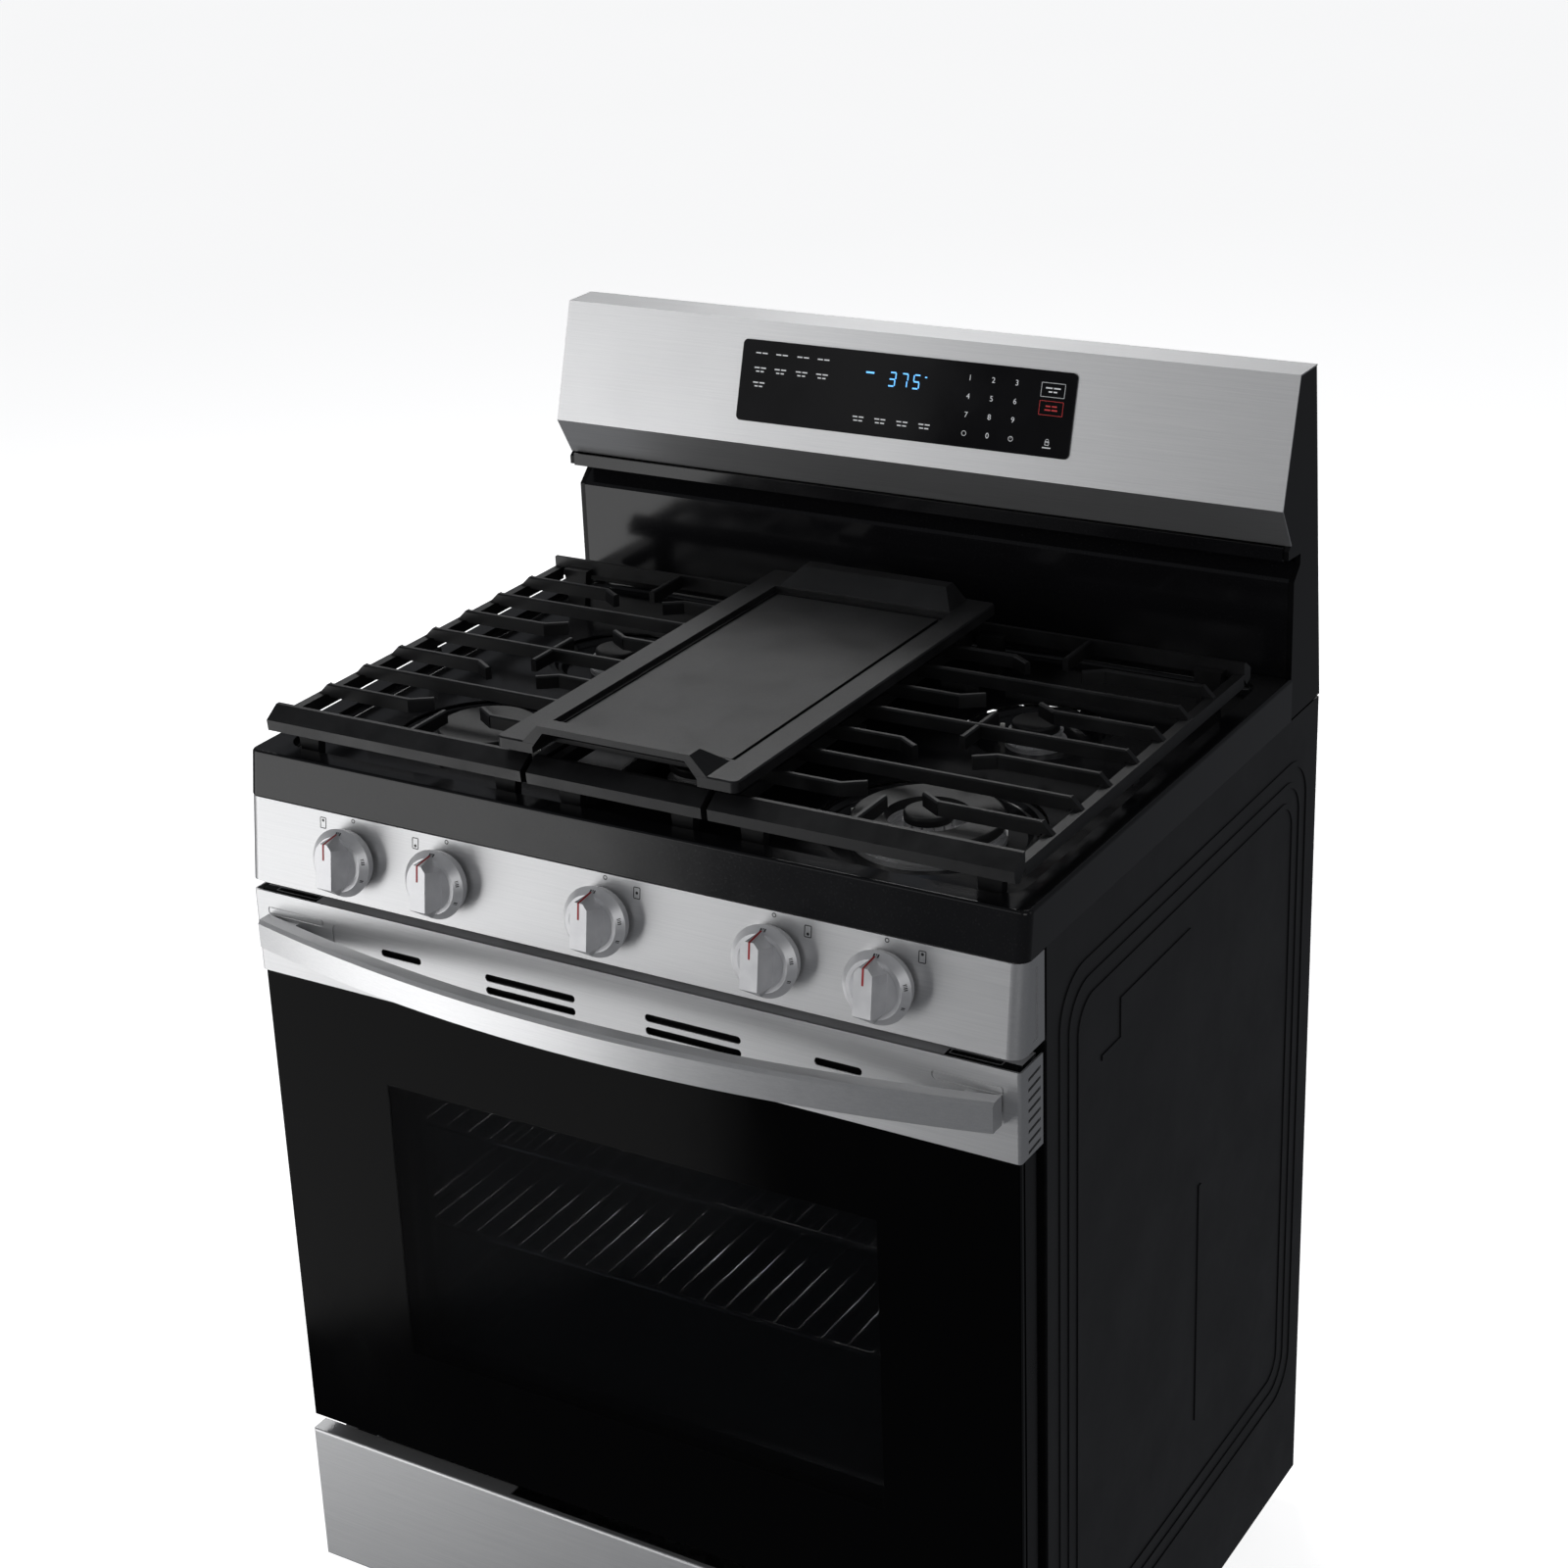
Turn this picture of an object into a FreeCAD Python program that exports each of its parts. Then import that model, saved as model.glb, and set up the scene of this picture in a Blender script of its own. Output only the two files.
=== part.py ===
import FreeCAD, Part
import math
import os

# Freestanding gas range, 30 inch class. Millimetres, +Z up, front at -Y, origin on the floor
# under the middle of the bounding box.

V = FreeCAD.Vector

# ---- driving dimensions ----
WIDTH = 757.0            # cooktop and control panel width
BODY_WIDTH = 754.0       # across the side panels without their beads
REAR_Y = 343.0           # back of the rear panel
HANDLE_Y = -343.0        # foremost point of the door handle
TOP_Z = 1192.0           # top of the backguard
COOKTOP_Z = 914.0        # rim of the cooktop
COOKTOP_FRONT_Y = -267.0
SKIRT_FRONT_Y = -273.0   # lower edge of the cooktop front skirt
SKIRT_Z = 873.5
WELL_Z = 905.0           # recessed cooking surface
SHEET = 1.2
RIM = 21.0

PANEL_TOP_Y = -274.0     # control panel front at its top edge
PANEL_BOT_Y = -284.0
PANEL_TOP_Z = 872.8
PANEL_BOT_Z = 795.5
PANEL_REAR_Y = -241.0
KNOB_Z = 835.0
KNOB_X = (-264.0, -164.0, -1.0, 160.0, 261.0)
KNOB_R = 30.5
KNOB_PUSH = 2.5
STEM_R = 4.0
RUN_CLEAR = 0.06         # radial running clearance on stems and pins

DOOR_Z0 = 226.0
DOOR_Z1 = 784.5
DOOR_FRONT_Y = -281.0
DOOR_REAR_Y = -240.8
BAND_Z0 = 704.5          # lower edge of the steel band
GLASS_FRONT_Y = -279.0
HINGE_Y = -262.0
HINGE_Z = 236.0
HINGE_X = 334.0
FRAME_FRONT_Y = -236.0   # front frame face
HANDLE_HALF = 362.0
HANDLE_Z0 = 737.0
HANDLE_Z1 = 763.0

CAV_X = 300.0            # oven cavity half width
CAV_Z0 = 262.0
CAV_Z1 = 690.0
CAV_REAR_Y = 250.0
RACK_Z = (430.0, 536.0)
RACK_LEVELS = 6
RACK_PITCH = 53.0
FAN_Z = 480.0

GRATE_Z = 951.0          # top of the grate bars
BAR_H = 12.0
BAR_W = 5.6
BAR_CHAMFER = 1.3
ROW_Y0 = -183.0          # first row of bars
ROW_PITCH = 53.0
GRATE_X0 = 91.0          # inner side of a side grate
GRATE_X1 = 362.0
GRATE_FRONT_Y = -258.0
GRATE_REAR_Y = 211.0
RAIL_Z = 941.0
FOOT_Z = 905.3
BURNER_X = 217.0
FRONT_BURNER_Y = -129.0
REAR_BURNER_Y = 83.0
DUAL_BURNER = (226.0, -136.0)   # middle of the large front right burner
CAP_Z = 915.0
CAP_UNDER = 907.3

BG_FOLD_Y = 237.0        # backguard panel profile
BG_FOLD_Z = 1079.0
BG_TOP_Y = 271.0
BG_BOT_Y = 259.0
BG_BOT_Z = 1041.0
BG_REAR_TOP_Y = 310.0
BG_REAR_BASE_Z = 874.0

DRAWER_Z0 = 64.0
DRAWER_Z1 = 210.0
FEET_XY = ((-330.0, -190.0), (330.0, -190.0), (-330.0, 300.0), (330.0, 300.0))


# ---- helpers ----
def box(x0, x1, y0, y1, z0, z1):
    return Part.makeBox(x1 - x0, y1 - y0, z1 - z0, V(x0, y0, z0))


def tube_z(x, y, z0, z1, r):
    return Part.makeCylinder(r, z1 - z0, V(x, y, z0), V(0, 0, 1))


def cone_z(x, y, z0, z1, r0, r1):
    return Part.makeCone(r0, r1, z1 - z0, V(x, y, z0), V(0, 0, 1))


def cyl(start, direction, r, length):
    return Part.makeCylinder(r, length, V(*start), V(*direction))


def prism_x(profile, x0, x1):
    """Closed (y, z) profile swept along X."""
    pts = [V(x0, y, z) for y, z in profile]
    face = Part.Face(Part.makePolygon(pts + [pts[0]]))
    return face.extrude(V(x1 - x0, 0, 0))


def prism_y(profile, y0, y1):
    """Closed (x, z) profile swept along Y."""
    pts = [V(x, y0, z) for x, z in profile]
    face = Part.Face(Part.makePolygon(pts + [pts[0]]))
    return face.extrude(V(0, y1 - y0, 0))


def prism_z(profile, z0, z1):
    """Closed (x, y) profile swept along Z."""
    pts = [V(x, y, z0) for x, y in profile]
    face = Part.Face(Part.makePolygon(pts + [pts[0]]))
    return face.extrude(V(0, 0, z1 - z0))


def round_slab(w, h, t, r):
    """Slab w by h by t with rounded corners, centred in X and Z, from y 0 to y t."""
    slab = box(-w / 2, w / 2, 0, t, -h / 2, h / 2)
    edges = [e for e in slab.Edges if abs(e.Vertexes[0].Y - e.Vertexes[1].Y) > t / 2]
    return slab.makeFillet(r, edges)


def stadium_z(x_half, y0, y1, z0, z1):
    """Upright oval with round ends along Y."""
    body = box(-x_half, x_half, y0 + x_half, y1 - x_half, z0, z1)
    body = body.fuse(tube_z(0, y0 + x_half, z0, z1, x_half))
    return body.fuse(tube_z(0, y1 - x_half, z0, z1, x_half)).removeSplitter()


def join(shapes):
    out = shapes[0]
    if len(shapes) > 1:
        out = out.fuse(shapes[1:])
    return out.removeSplitter()


def drill(shape, cutters):
    return shape.cut(Part.makeCompound(cutters))


def mirror_x(shape):
    return shape.mirror(V(0, 0, 0), V(1, 0, 0))


def pair(shape):
    """The same piece on both sides."""
    return [shape, mirror_x(shape)]


def turned(shape, angle, pivot):
    """Copy turned about an X axis through the pivot (y, z)."""
    out = shape.copy()
    out.rotate(V(0, pivot[0], pivot[1]), V(1, 0, 0), angle)
    return out


def save(name, shape):
    if isinstance(shape, list):
        shape = Part.makeCompound(shape)
    shape.exportStep("parts/%s.step" % name)


PANEL_TILT = math.atan2(PANEL_TOP_Y - PANEL_BOT_Y, PANEL_TOP_Z - PANEL_BOT_Z)
PANEL_N = (0.0, -math.cos(PANEL_TILT), math.sin(PANEL_TILT))
PANEL_UP = (0.0, math.sin(PANEL_TILT), math.cos(PANEL_TILT))
BG_TILT = math.atan2(BG_TOP_Y - BG_FOLD_Y, TOP_Z - BG_FOLD_Z)


def panel_y(z):
    """Y of the control panel face at a height."""
    return PANEL_BOT_Y + (z - PANEL_BOT_Z) * math.tan(PANEL_TILT)


def on_panel(x, out, up=0.0):
    """Point off the control panel at knob height: out along its normal, up along its slope."""
    y0 = panel_y(KNOB_Z)
    return (x, y0 + out * PANEL_N[1] + up * PANEL_UP[1], KNOB_Z + out * PANEL_N[2] + up * PANEL_UP[2])


def knob_place(shape, x):
    """Move a shape built round the Z axis so that Z points out of the control panel."""
    out = shape.copy()
    out.rotate(V(0, 0, 0), V(1, 0, 0), 90.0 - math.degrees(PANEL_TILT))
    out.translate(V(*on_panel(x, 0.0)))
    return out


# ---- body shell ----
def rounded_loop(y0, y1, z0, z1, r, width, x0, x1):
    """Raised outline of a rounded rectangle on a side panel."""
    outer = box(x0, x1, y0, y1, z0, z1)
    inner = box(x0 - 1, x1 + 1, y0 + width, y1 - width, z0 + width, z1 - width)
    rim_edges = [e for e in outer.Edges if abs(e.Vertexes[0].X - e.Vertexes[1].X) > 0.1]
    hole_edges = [e for e in inner.Edges if abs(e.Vertexes[0].X - e.Vertexes[1].X) > 0.1]
    return outer.makeFillet(r, rim_edges).cut(inner.makeFillet(r - width, hole_edges))


def side_panel():
    """Right panel: sheet with turned front, bottom and rear flanges and stamped beads."""
    x1 = BODY_WIDTH / 2
    x0 = x1 - SHEET
    z0 = 32.0
    z1 = 872.0
    y0 = -234.0
    y1 = REAR_Y - 1.5
    pieces = [box(x0, x1, y0, y1, z0, z1)]
    pieces.append(box(x1 - 14, x1, y0, y0 + SHEET, z0, z1))
    pieces.append(box(x1 - 14, x1, y1 - SHEET, y1, z0, z1))
    pieces.append(box(x1 - 14, x1, y0, y1, z0, z0 + SHEET))
    bead = x1 + 1.0
    for k in range(3):
        inset = 22.0 + 17.0 * k
        pieces.append(rounded_loop(y0 + inset, y1 - inset, 120 + inset, z1 - 20 - inset,
                                   46 - 8 * k, 5.0, x1 - 0.2, bead))
    pieces.append(box(x1 - 0.2, bead, -132, -91, 724, 729))
    pieces.append(box(x1 - 0.2, bead, -96, -91, 724, 765))
    pieces.append(box(x1 - 0.2, bead, -96, 48, 760, 765))
    pieces.append(box(x1 - 0.2, bead, 76, 82, 250, 498))
    return join(pieces)


def rear_panel():
    """Back sheet, upright behind the body and leaning forward behind the backguard."""
    t = 1.5
    profile = [(REAR_Y - t, 32), (REAR_Y, 32), (REAR_Y, BG_REAR_BASE_Z), (BG_REAR_TOP_Y, TOP_Z - 1.5),
               (BG_REAR_TOP_Y - t, TOP_Z - 1.5), (REAR_Y - t, BG_REAR_BASE_Z)]
    half = BODY_WIDTH / 2 - 5.5
    panel = prism_x(profile, -half, half)
    cutters = [cyl((INLET_X, REAR_Y - 10, INLET_Z), (0, 1, 0), 16, 20)]
    cutters.append(box(-232, -168, REAR_Y - 10, REAR_Y + 10, 130, 170))
    for row in range(4):
        for col in range(7):
            x = -180 + 60 * col
            cutters.append(box(x - 20, x + 20, REAR_Y - 10, REAR_Y + 10, 770 + 14 * row, 775 + 14 * row))
    for col in range(9):
        x = -200 + 50 * col
        cutters.append(box(x - 15, x + 15, 300, REAR_Y + 10, 1100, 1106))
    return drill(panel, cutters)


def base_frame():
    """Welded base: bottom ring, drawer housing walls, drawer rails and the shelf under the oven."""
    half = 345.0
    front = -225.0
    rear = 336.0
    top = 216.0
    pieces = []
    for side in (-1, 1):
        x0, x1 = sorted((side * half, side * 375.5))
        pieces.append(box(x0, x1, front, rear, 34, 37))
        w0, w1 = sorted((side * half, side * (half + 1.5)))
        pieces.append(box(w0, w1, front, rear, 34, top))
        r0, r1 = sorted((side * 333.0, side * (half + 1)))
        pieces.append(box(r0, r1, front, rear - 20, 118, 121))
        s0, s1 = sorted((side * half, side * 375.5))
        pieces.append(box(s0, s1, front, rear, top - 2, top))
    pieces.append(box(-half, half, front, front + 24, 34, 37))
    pieces.append(box(-half, half, front, front + 1.5, 34, 56))
    pieces.append(box(-half, half, rear - 1.5, rear, 34, top))
    pieces.append(box(-half, half, front, rear, top - 1.5, top))
    holes = [tube_z(x, y, 30, 40, 5.1) for x, y in FEET_XY]
    holes = holes + [box(-232, -168, rear - 5, rear + 5, 130, 170)]
    holes = holes + [cyl((INLET_X, rear - 5, INLET_Z), (0, 1, 0), 30, 10)]
    holes.append(box(150, half - 0.5, 272, rear - 2, top - 16, top + 1))
    for x, y in FEET_XY:
        pieces.append(box(x - 18, x + 18, y - 18, y + 18, 34, 37))
    return drill(join(pieces), holes)


def levelling_feet():
    feet = []
    for x, y in FEET_XY:
        pad = cone_z(x, y, 0, 10, 19, 16)
        nut = prism_z([(x + 11 * math.cos(math.radians(60 * k)), y + 11 * math.sin(math.radians(60 * k)))
                       for k in range(6)], 10, 18)
        stud = tube_z(x, y, 18, 52, 5.0)
        feet.append(join([pad, nut, stud]))
    return feet


def front_frame():
    """Front frame round the oven mouth, with the two hinge receivers welded on."""
    z0 = 217.0
    half = 375.5
    frame = box(-half, half, FRAME_FRONT_Y, FRAME_FRONT_Y + SHEET, z0, 790)
    frame = frame.cut(box(-CAV_X - 1.3, CAV_X + 1.3, -250, -220, CAV_Z0 - 1.3, CAV_Z1 + 1.3))
    pieces = [frame]
    for side in (-1, 1):
        x = side * HINGE_X
        lug = box(x - 4, x + 4, HINGE_Y, FRAME_FRONT_Y + 0.5, HINGE_Z - 6, HINGE_Z + 6)
        eye = cyl((x - 4, HINGE_Y, HINGE_Z), (1, 0, 0), 8, 8)
        pieces.append(lug)
        pieces.append(eye)
        pieces.append(box(x - 9, x + 9, FRAME_FRONT_Y + 0.2, FRAME_FRONT_Y + 26, HINGE_Z - 12, HINGE_Z + 60))
    shape = join(pieces)
    bores = [cyl((side * HINGE_X - 10, HINGE_Y, HINGE_Z), (1, 0, 0), STEM_R + RUN_CLEAR, 20)
             for side in (-1, 1)]
    return drill(shape, bores)


def oven_cavity():
    """Enamelled liner with side ledges, floor slots and openings for fan shaft and lamp."""
    t = SHEET
    outer = box(-CAV_X - t, CAV_X + t, FRAME_FRONT_Y + SHEET, CAV_REAR_Y + t, CAV_Z0 - t, CAV_Z1 + t)
    inner = box(-CAV_X, CAV_X, -260, CAV_REAR_Y, CAV_Z0, CAV_Z1)
    pieces = [outer.cut(inner)]
    for level in range(RACK_LEVELS):
        z = RACK_Z[0] + (level - 2) * RACK_PITCH
        for side in (-1, 1):
            x0, x1 = sorted((side * (CAV_X - 9), side * (CAV_X + 0.5)))
            pieces.append(box(x0, x1, -212, 222, z - 8, z - 3.4))
    shape = join(pieces)
    cutters = [cyl((0, CAV_REAR_Y - 5, FAN_Z), (0, 1, 0), 14, 12)]
    cutters.append(cyl((-210, CAV_REAR_Y - 5, 640), (0, 1, 0), 24.2, 12))
    for side in (-1, 1):
        for k in range(8):
            y = -170 + 46 * k
            cutters.append(box(side * 272 - 5, side * 272 + 5, y, y + 26, CAV_Z0 - 5, CAV_Z0 + 5))
    return drill(shape, cutters)


def oven_insulation():
    """Fibre blanket round the liner and the bake burner space."""
    outer = box(-333, 333, -208, 274, 217, 722)
    inner = box(-CAV_X - 1.4, CAV_X + 1.4, -260, CAV_REAR_Y + 1.4, 219, CAV_Z1 + 1.4)
    cutters = [inner, cyl((0, 240, FAN_Z), (0, 1, 0), 46, 60)]
    cutters.append(cyl((-210, 240, 640), (0, 1, 0), 25, 60))
    cutters.append(cyl((0, 240, 240), (0, 1, 0), 15, 60))
    return drill(outer, cutters)


def bake_burner():
    """Tubular burner loop under the oven floor."""
    z = 240.0
    r = 11.0
    pieces = [cyl((0, -110, z), (0, 1, 0), r, 405)]
    pieces.append(cyl((-240, -110, z), (1, 0, 0), r + 2, 480))
    for side in (-1, 1):
        pieces.append(cyl((side * 226, -110, z), (0, 1, 0), r, 290))
    pieces.append(cyl((0, 286.5, z), (0, 1, 0), 20, 4))
    return join(pieces)


def broil_burner():
    """Flat radiant burner under the oven roof, hung on two brackets."""
    body = box(-170, 170, -150, 160, 660, 678)
    grooves = [box(-155, 155, -140 + 26 * k, -128 + 26 * k, 659, 662) for k in range(12)]
    body = body.cut(Part.makeCompound(grooves))
    tabs = [box(x - 12, x + 12, y - 2, y + 2, 676, CAV_Z1 - 0.1) for x in (-140, 140) for y in (-120, 130)]
    return join([body] + tabs)


def convection_fan_cover():
    """Round pressed cover with air slots in front of the fan."""
    y1 = CAV_REAR_Y - 0.1
    shell = Part.makeCone(112, 120, 22, V(0, y1 - 22, FAN_Z), V(0, 1, 0))
    hollow = Part.makeCone(110.6, 118.6, 21, V(0, y1 - 20.6, FAN_Z), V(0, 1, 0))
    shell = shell.cut(hollow)
    cutters = []
    for k in range(24):
        slot = box(52, 98, y1 - 30, y1 - 15, FAN_Z - 3, FAN_Z + 3)
        slot.rotate(V(0, 0, FAN_Z), V(0, 1, 0), 15.0 * k)
        cutters.append(slot)
    for k in range(6):
        hole = cyl((24, y1 - 30, FAN_Z), (0, 1, 0), 7, 15)
        hole.rotate(V(0, 0, FAN_Z), V(0, 1, 0), 60.0 * k)
        cutters.append(hole)
    return drill(shell, cutters)


def convection_fan():
    """Fan wheel with bent blades and its shaft."""
    y0 = CAV_REAR_Y - 15.5
    plate = cyl((0, y0, FAN_Z), (0, 1, 0), 70, 1.5)
    pieces = [plate, cyl((0, y0 - 1, FAN_Z), (0, 1, 0), 11, 12)]
    for k in range(12):
        blade = box(38, 76, y0, y0 + 9, FAN_Z - 0.8, FAN_Z + 0.8)
        blade.rotate(V(38, 0, FAN_Z), V(0, 1, 0), 25.0)
        blade.rotate(V(0, 0, FAN_Z), V(0, 1, 0), 30.0 * k)
        pieces.append(blade)
    pieces.append(cyl((0, y0, FAN_Z), (0, 1, 0), STEM_R, 75))
    return join(pieces)


def convection_motor():
    body = cyl((0, CAV_REAR_Y + 8, FAN_Z), (0, 1, 0), 38, 52)
    nose = cyl((0, CAV_REAR_Y + 1.4, FAN_Z), (0, 1, 0), 12, 10)
    plate = box(-52, 52, 287, 289, FAN_Z - 52, FAN_Z + 52)
    cap = cyl((0, 305, FAN_Z), (0, 1, 0), 30, 14)
    bore = cyl((0, CAV_REAR_Y, FAN_Z), (0, 1, 0), STEM_R + RUN_CLEAR, 62)
    return join([body, nose, plate, cap]).cut(bore)


def oven_lamp():
    lens = Part.makeCone(18, 22, 8, V(-210, CAV_REAR_Y - 8, 640), V(0, 1, 0))
    flange = cyl((-210, CAV_REAR_Y - 2.5, 640), (0, 1, 0), 27, 2.4)
    socket = cyl((-210, CAV_REAR_Y - 1, 640), (0, 1, 0), 23.8, 46)
    return join([lens, flange, socket])


def door_gasket():
    """Woven seal round the oven mouth."""
    y0 = DOOR_REAR_Y + 0.3
    outer = box(-316, 316, y0, FRAME_FRONT_Y, CAV_Z0 - 12, CAV_Z1 + 16)
    inner = box(-306, 306, -260, -200, CAV_Z0 - 2, CAV_Z1 + 6)
    rim = [e for e in outer.Edges if abs(e.Vertexes[0].Y - e.Vertexes[1].Y) > 1]
    hole = [e for e in inner.Edges if abs(e.Vertexes[0].Y - e.Vertexes[1].Y) > 1]
    return outer.makeFillet(22, rim).cut(inner.makeFillet(13, hole))


# ---- cooktop ----
def cooktop_outline(grow, z0, z1):
    """Sloping-front block of the cooktop, grown or shrunk all round."""
    half = WIDTH / 2 + grow
    slope = (COOKTOP_FRONT_Y - SKIRT_FRONT_Y) / (COOKTOP_Z - SKIRT_Z)
    front0 = SKIRT_FRONT_Y + (z0 - SKIRT_Z) * slope - grow
    front1 = SKIRT_FRONT_Y + (z1 - SKIRT_Z) * slope - grow
    block = prism_x([(front0, z0), (front1, z1), (269 + grow, z1), (269 + grow, z0)], -half, half)
    corners = [e for e in block.Edges
               if abs(e.Vertexes[0].Z - e.Vertexes[1].Z) > 5 and e.Vertexes[0].Y < 0]
    return block.makeFillet(9.0 + grow, corners)


BURNERS = (
    ("front_left", -BURNER_X, FRONT_BURNER_Y, 84.0, 45.5, 43.0),
    ("rear_left", -BURNER_X, REAR_BURNER_Y, 66.0, 21.0, 24.0),
    ("front_right", *DUAL_BURNER, 97.0, 63.5, 61.0),
    ("rear_right", BURNER_X, REAR_BURNER_Y, 66.0, 21.0, 24.0),
)
OVAL_X = 31.0
OVAL_Y0 = -144.0
OVAL_Y1 = 96.0
DISH_Z = 893.0


def cooktop():
    """Pressed porcelain pan: rim, recessed well and a stepped dish at every burner."""
    block = cooktop_outline(0.0, SKIRT_Z, COOKTOP_Z)
    top = [e for e in block.Edges if e.Vertexes[0].Z > COOKTOP_Z - 0.1 and e.Vertexes[-1].Z > COOKTOP_Z - 0.1]
    block = block.makeFillet(3.0, top)
    block = block.cut(cooktop_outline(-1.5, SKIRT_Z - 1, WELL_Z - 1.5))
    well = box(-WIDTH / 2 + RIM, WIDTH / 2 - RIM, COOKTOP_FRONT_Y + RIM, 250, WELL_Z, COOKTOP_Z + 5)
    corners = [e for e in well.Edges if abs(e.Vertexes[0].Z - e.Vertexes[1].Z) > 2]
    well = well.makeFillet(24.0, corners)
    floor_edge = [e for e in well.Edges if e.BoundBox.ZMax < WELL_Z + 0.1]
    well = well.makeFillet(6.0, floor_edge)
    block = block.cut(well)
    cups = []
    hollows = []
    for name, x, y, dish, cap, head in BURNERS:
        cups.append(cone_z(x, y, DISH_Z - 1.5, WELL_Z - 1, dish - 10, dish))
        hollows.append(tube_z(x, y, WELL_Z - 2.5, WELL_Z + 1, dish))
        hollows.append(cone_z(x, y, WELL_Z - 6, WELL_Z - 2.5, dish - 9, dish - 6))
        hollows.append(cone_z(x, y, DISH_Z, WELL_Z - 6, dish - 17, dish - 12))
        hollows.append(tube_z(x, y, DISH_Z - 5, DISH_Z + 1, 18))
    cups.append(stadium_z(OVAL_X + 16, OVAL_Y0 - 16, OVAL_Y1 + 16, DISH_Z - 1.5, WELL_Z - 1))
    hollows.append(stadium_z(OVAL_X + 14, OVAL_Y0 - 14, OVAL_Y1 + 14, DISH_Z, WELL_Z + 1))
    hollows.append(tube_z(0, -24, DISH_Z - 5, DISH_Z + 1, 18))
    return drill(join([block] + cups), hollows)


def burner_heads():
    """Cast aluminium bases and flame rings, one per burner."""
    heads = []
    for name, x, y, dish, cap, head in BURNERS:
        foot = tube_z(x, y, DISH_Z + 0.1, DISH_Z + 5, head + 3)
        ring = cone_z(x, y, DISH_Z + 5, CAP_UNDER - 0.4, head - 2, head)
        throat = tube_z(x, y, DISH_Z - 22, DISH_Z + 1, 15)
        body = join([foot, ring, throat])
        ports = []
        count = 16 if head < 30 else 30
        for k in range(count):
            port = box(x + head - 5, x + head + 2, y - 0.9, y + 0.9, CAP_UNDER - 3.5, CAP_UNDER)
            port.rotate(V(x, y, 0), V(0, 0, 1), 360.0 * k / count)
            ports.append(port)
        if name == "front_right":
            ports.append(tube_z(x, y, DISH_Z + 4, CAP_UNDER + 1, 36))
        ports.append(tube_z(x, y, DISH_Z - 30, DISH_Z + 4, 8))
        ports.append(tube_z(x, y, CAP_UNDER - 5, CAP_UNDER + 1, 10))
        body = drill(body, ports)
        if name == "front_right":
            core = tube_z(x, y, DISH_Z + 3.5, CAP_UNDER + 3.6, 21)
            core = core.cut(tube_z(x, y, CAP_UNDER - 2, CAP_UNDER + 5, 9.6))
            slots = []
            for k in range(14):
                slot = box(x + 17, x + 23, y - 0.9, y + 0.9, CAP_UNDER, CAP_UNDER + 4)
                slot.rotate(V(x, y, 0), V(0, 0, 1), 360.0 * k / 14)
                slots.append(slot)
            body = join([body, drill(core, slots)])
        heads.append(body)
    oval_foot = stadium_z(OVAL_X + 2, OVAL_Y0 - 2, OVAL_Y1 + 2, DISH_Z + 0.1, DISH_Z + 5)
    oval = stadium_z(OVAL_X - 2, OVAL_Y0 + 2, OVAL_Y1 - 2, DISH_Z + 5, CAP_UNDER - 0.4)
    ports = []
    for side in (-1, 1):
        for k in range(17):
            y = OVAL_Y0 + 40 + 10 * k
            ports.append(box(side * 28 - 3, side * 28 + 3, y - 1, y + 1, CAP_UNDER - 3.5, CAP_UNDER))
    ports.append(tube_z(0, -24, DISH_Z - 30, DISH_Z + 4, 8))
    ports.append(tube_z(0, -24, CAP_UNDER - 5, CAP_UNDER + 1, 10))
    heads.append(drill(join([oval_foot, oval, tube_z(0, -24, DISH_Z - 22, DISH_Z + 1, 15)]), ports))
    return heads


def round_cap(x, y, r, z0, z1, bore=0.0):
    """Enamelled cap with a rounded edge and a locating boss under it."""
    disc = tube_z(x, y, z0, z1, r)
    rim = [e for e in disc.Edges if e.BoundBox.ZMin > z1 - 0.1 and e.BoundBox.XLength > r]
    disc = disc.makeFillet(2.5, rim)
    if bore:
        disc = disc.cut(cone_z(x, y, z0 - 1, z1 + 1, bore, bore + 2))
        return disc
    return join([disc, tube_z(x, y, z0 - 3.2, z0 + 1, 9.0)])


def front_right_inner_cap():
    return round_cap(*DUAL_BURNER, 20.5, CAP_UNDER + 4, CAP_Z + 3.5)


def centre_cap():
    disc = stadium_z(OVAL_X, OVAL_Y0, OVAL_Y1, CAP_UNDER, CAP_Z)
    rim = [e for e in disc.Edges if e.BoundBox.ZMin > CAP_Z - 0.1]
    disc = disc.makeFillet(2.0, rim)
    return join([disc, tube_z(0, -24, CAP_UNDER - 3.2, CAP_UNDER + 1, 9.0)])


def igniters():
    """Ceramic spark pins beside the flame rings."""
    pins = []
    for name, x, y, dish, cap, head in BURNERS:
        sx = -1 if x > 0 else 1
        px = x + sx * (head + 8)
        collar = tube_z(px, y, DISH_Z + 0.1, DISH_Z + 6, 4)
        pins.append(join([collar, tube_z(px, y, DISH_Z + 5, CAP_UNDER - 1, 2.2)]))
    y = OVAL_Y1 + 8
    collar = tube_z(0, y, DISH_Z + 0.1, DISH_Z + 6, 4)
    pins.append(join([collar, tube_z(0, y, DISH_Z + 5, CAP_UNDER - 1, 2.2)]))
    return pins


# ---- gas system ----
MANIFOLD_Y = -226.0
MANIFOLD_Z = 842.0
INLET_X = 186.0          # half-inch gas inlet
INLET_Z = 150.0
INLET_R = 10.65


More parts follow.
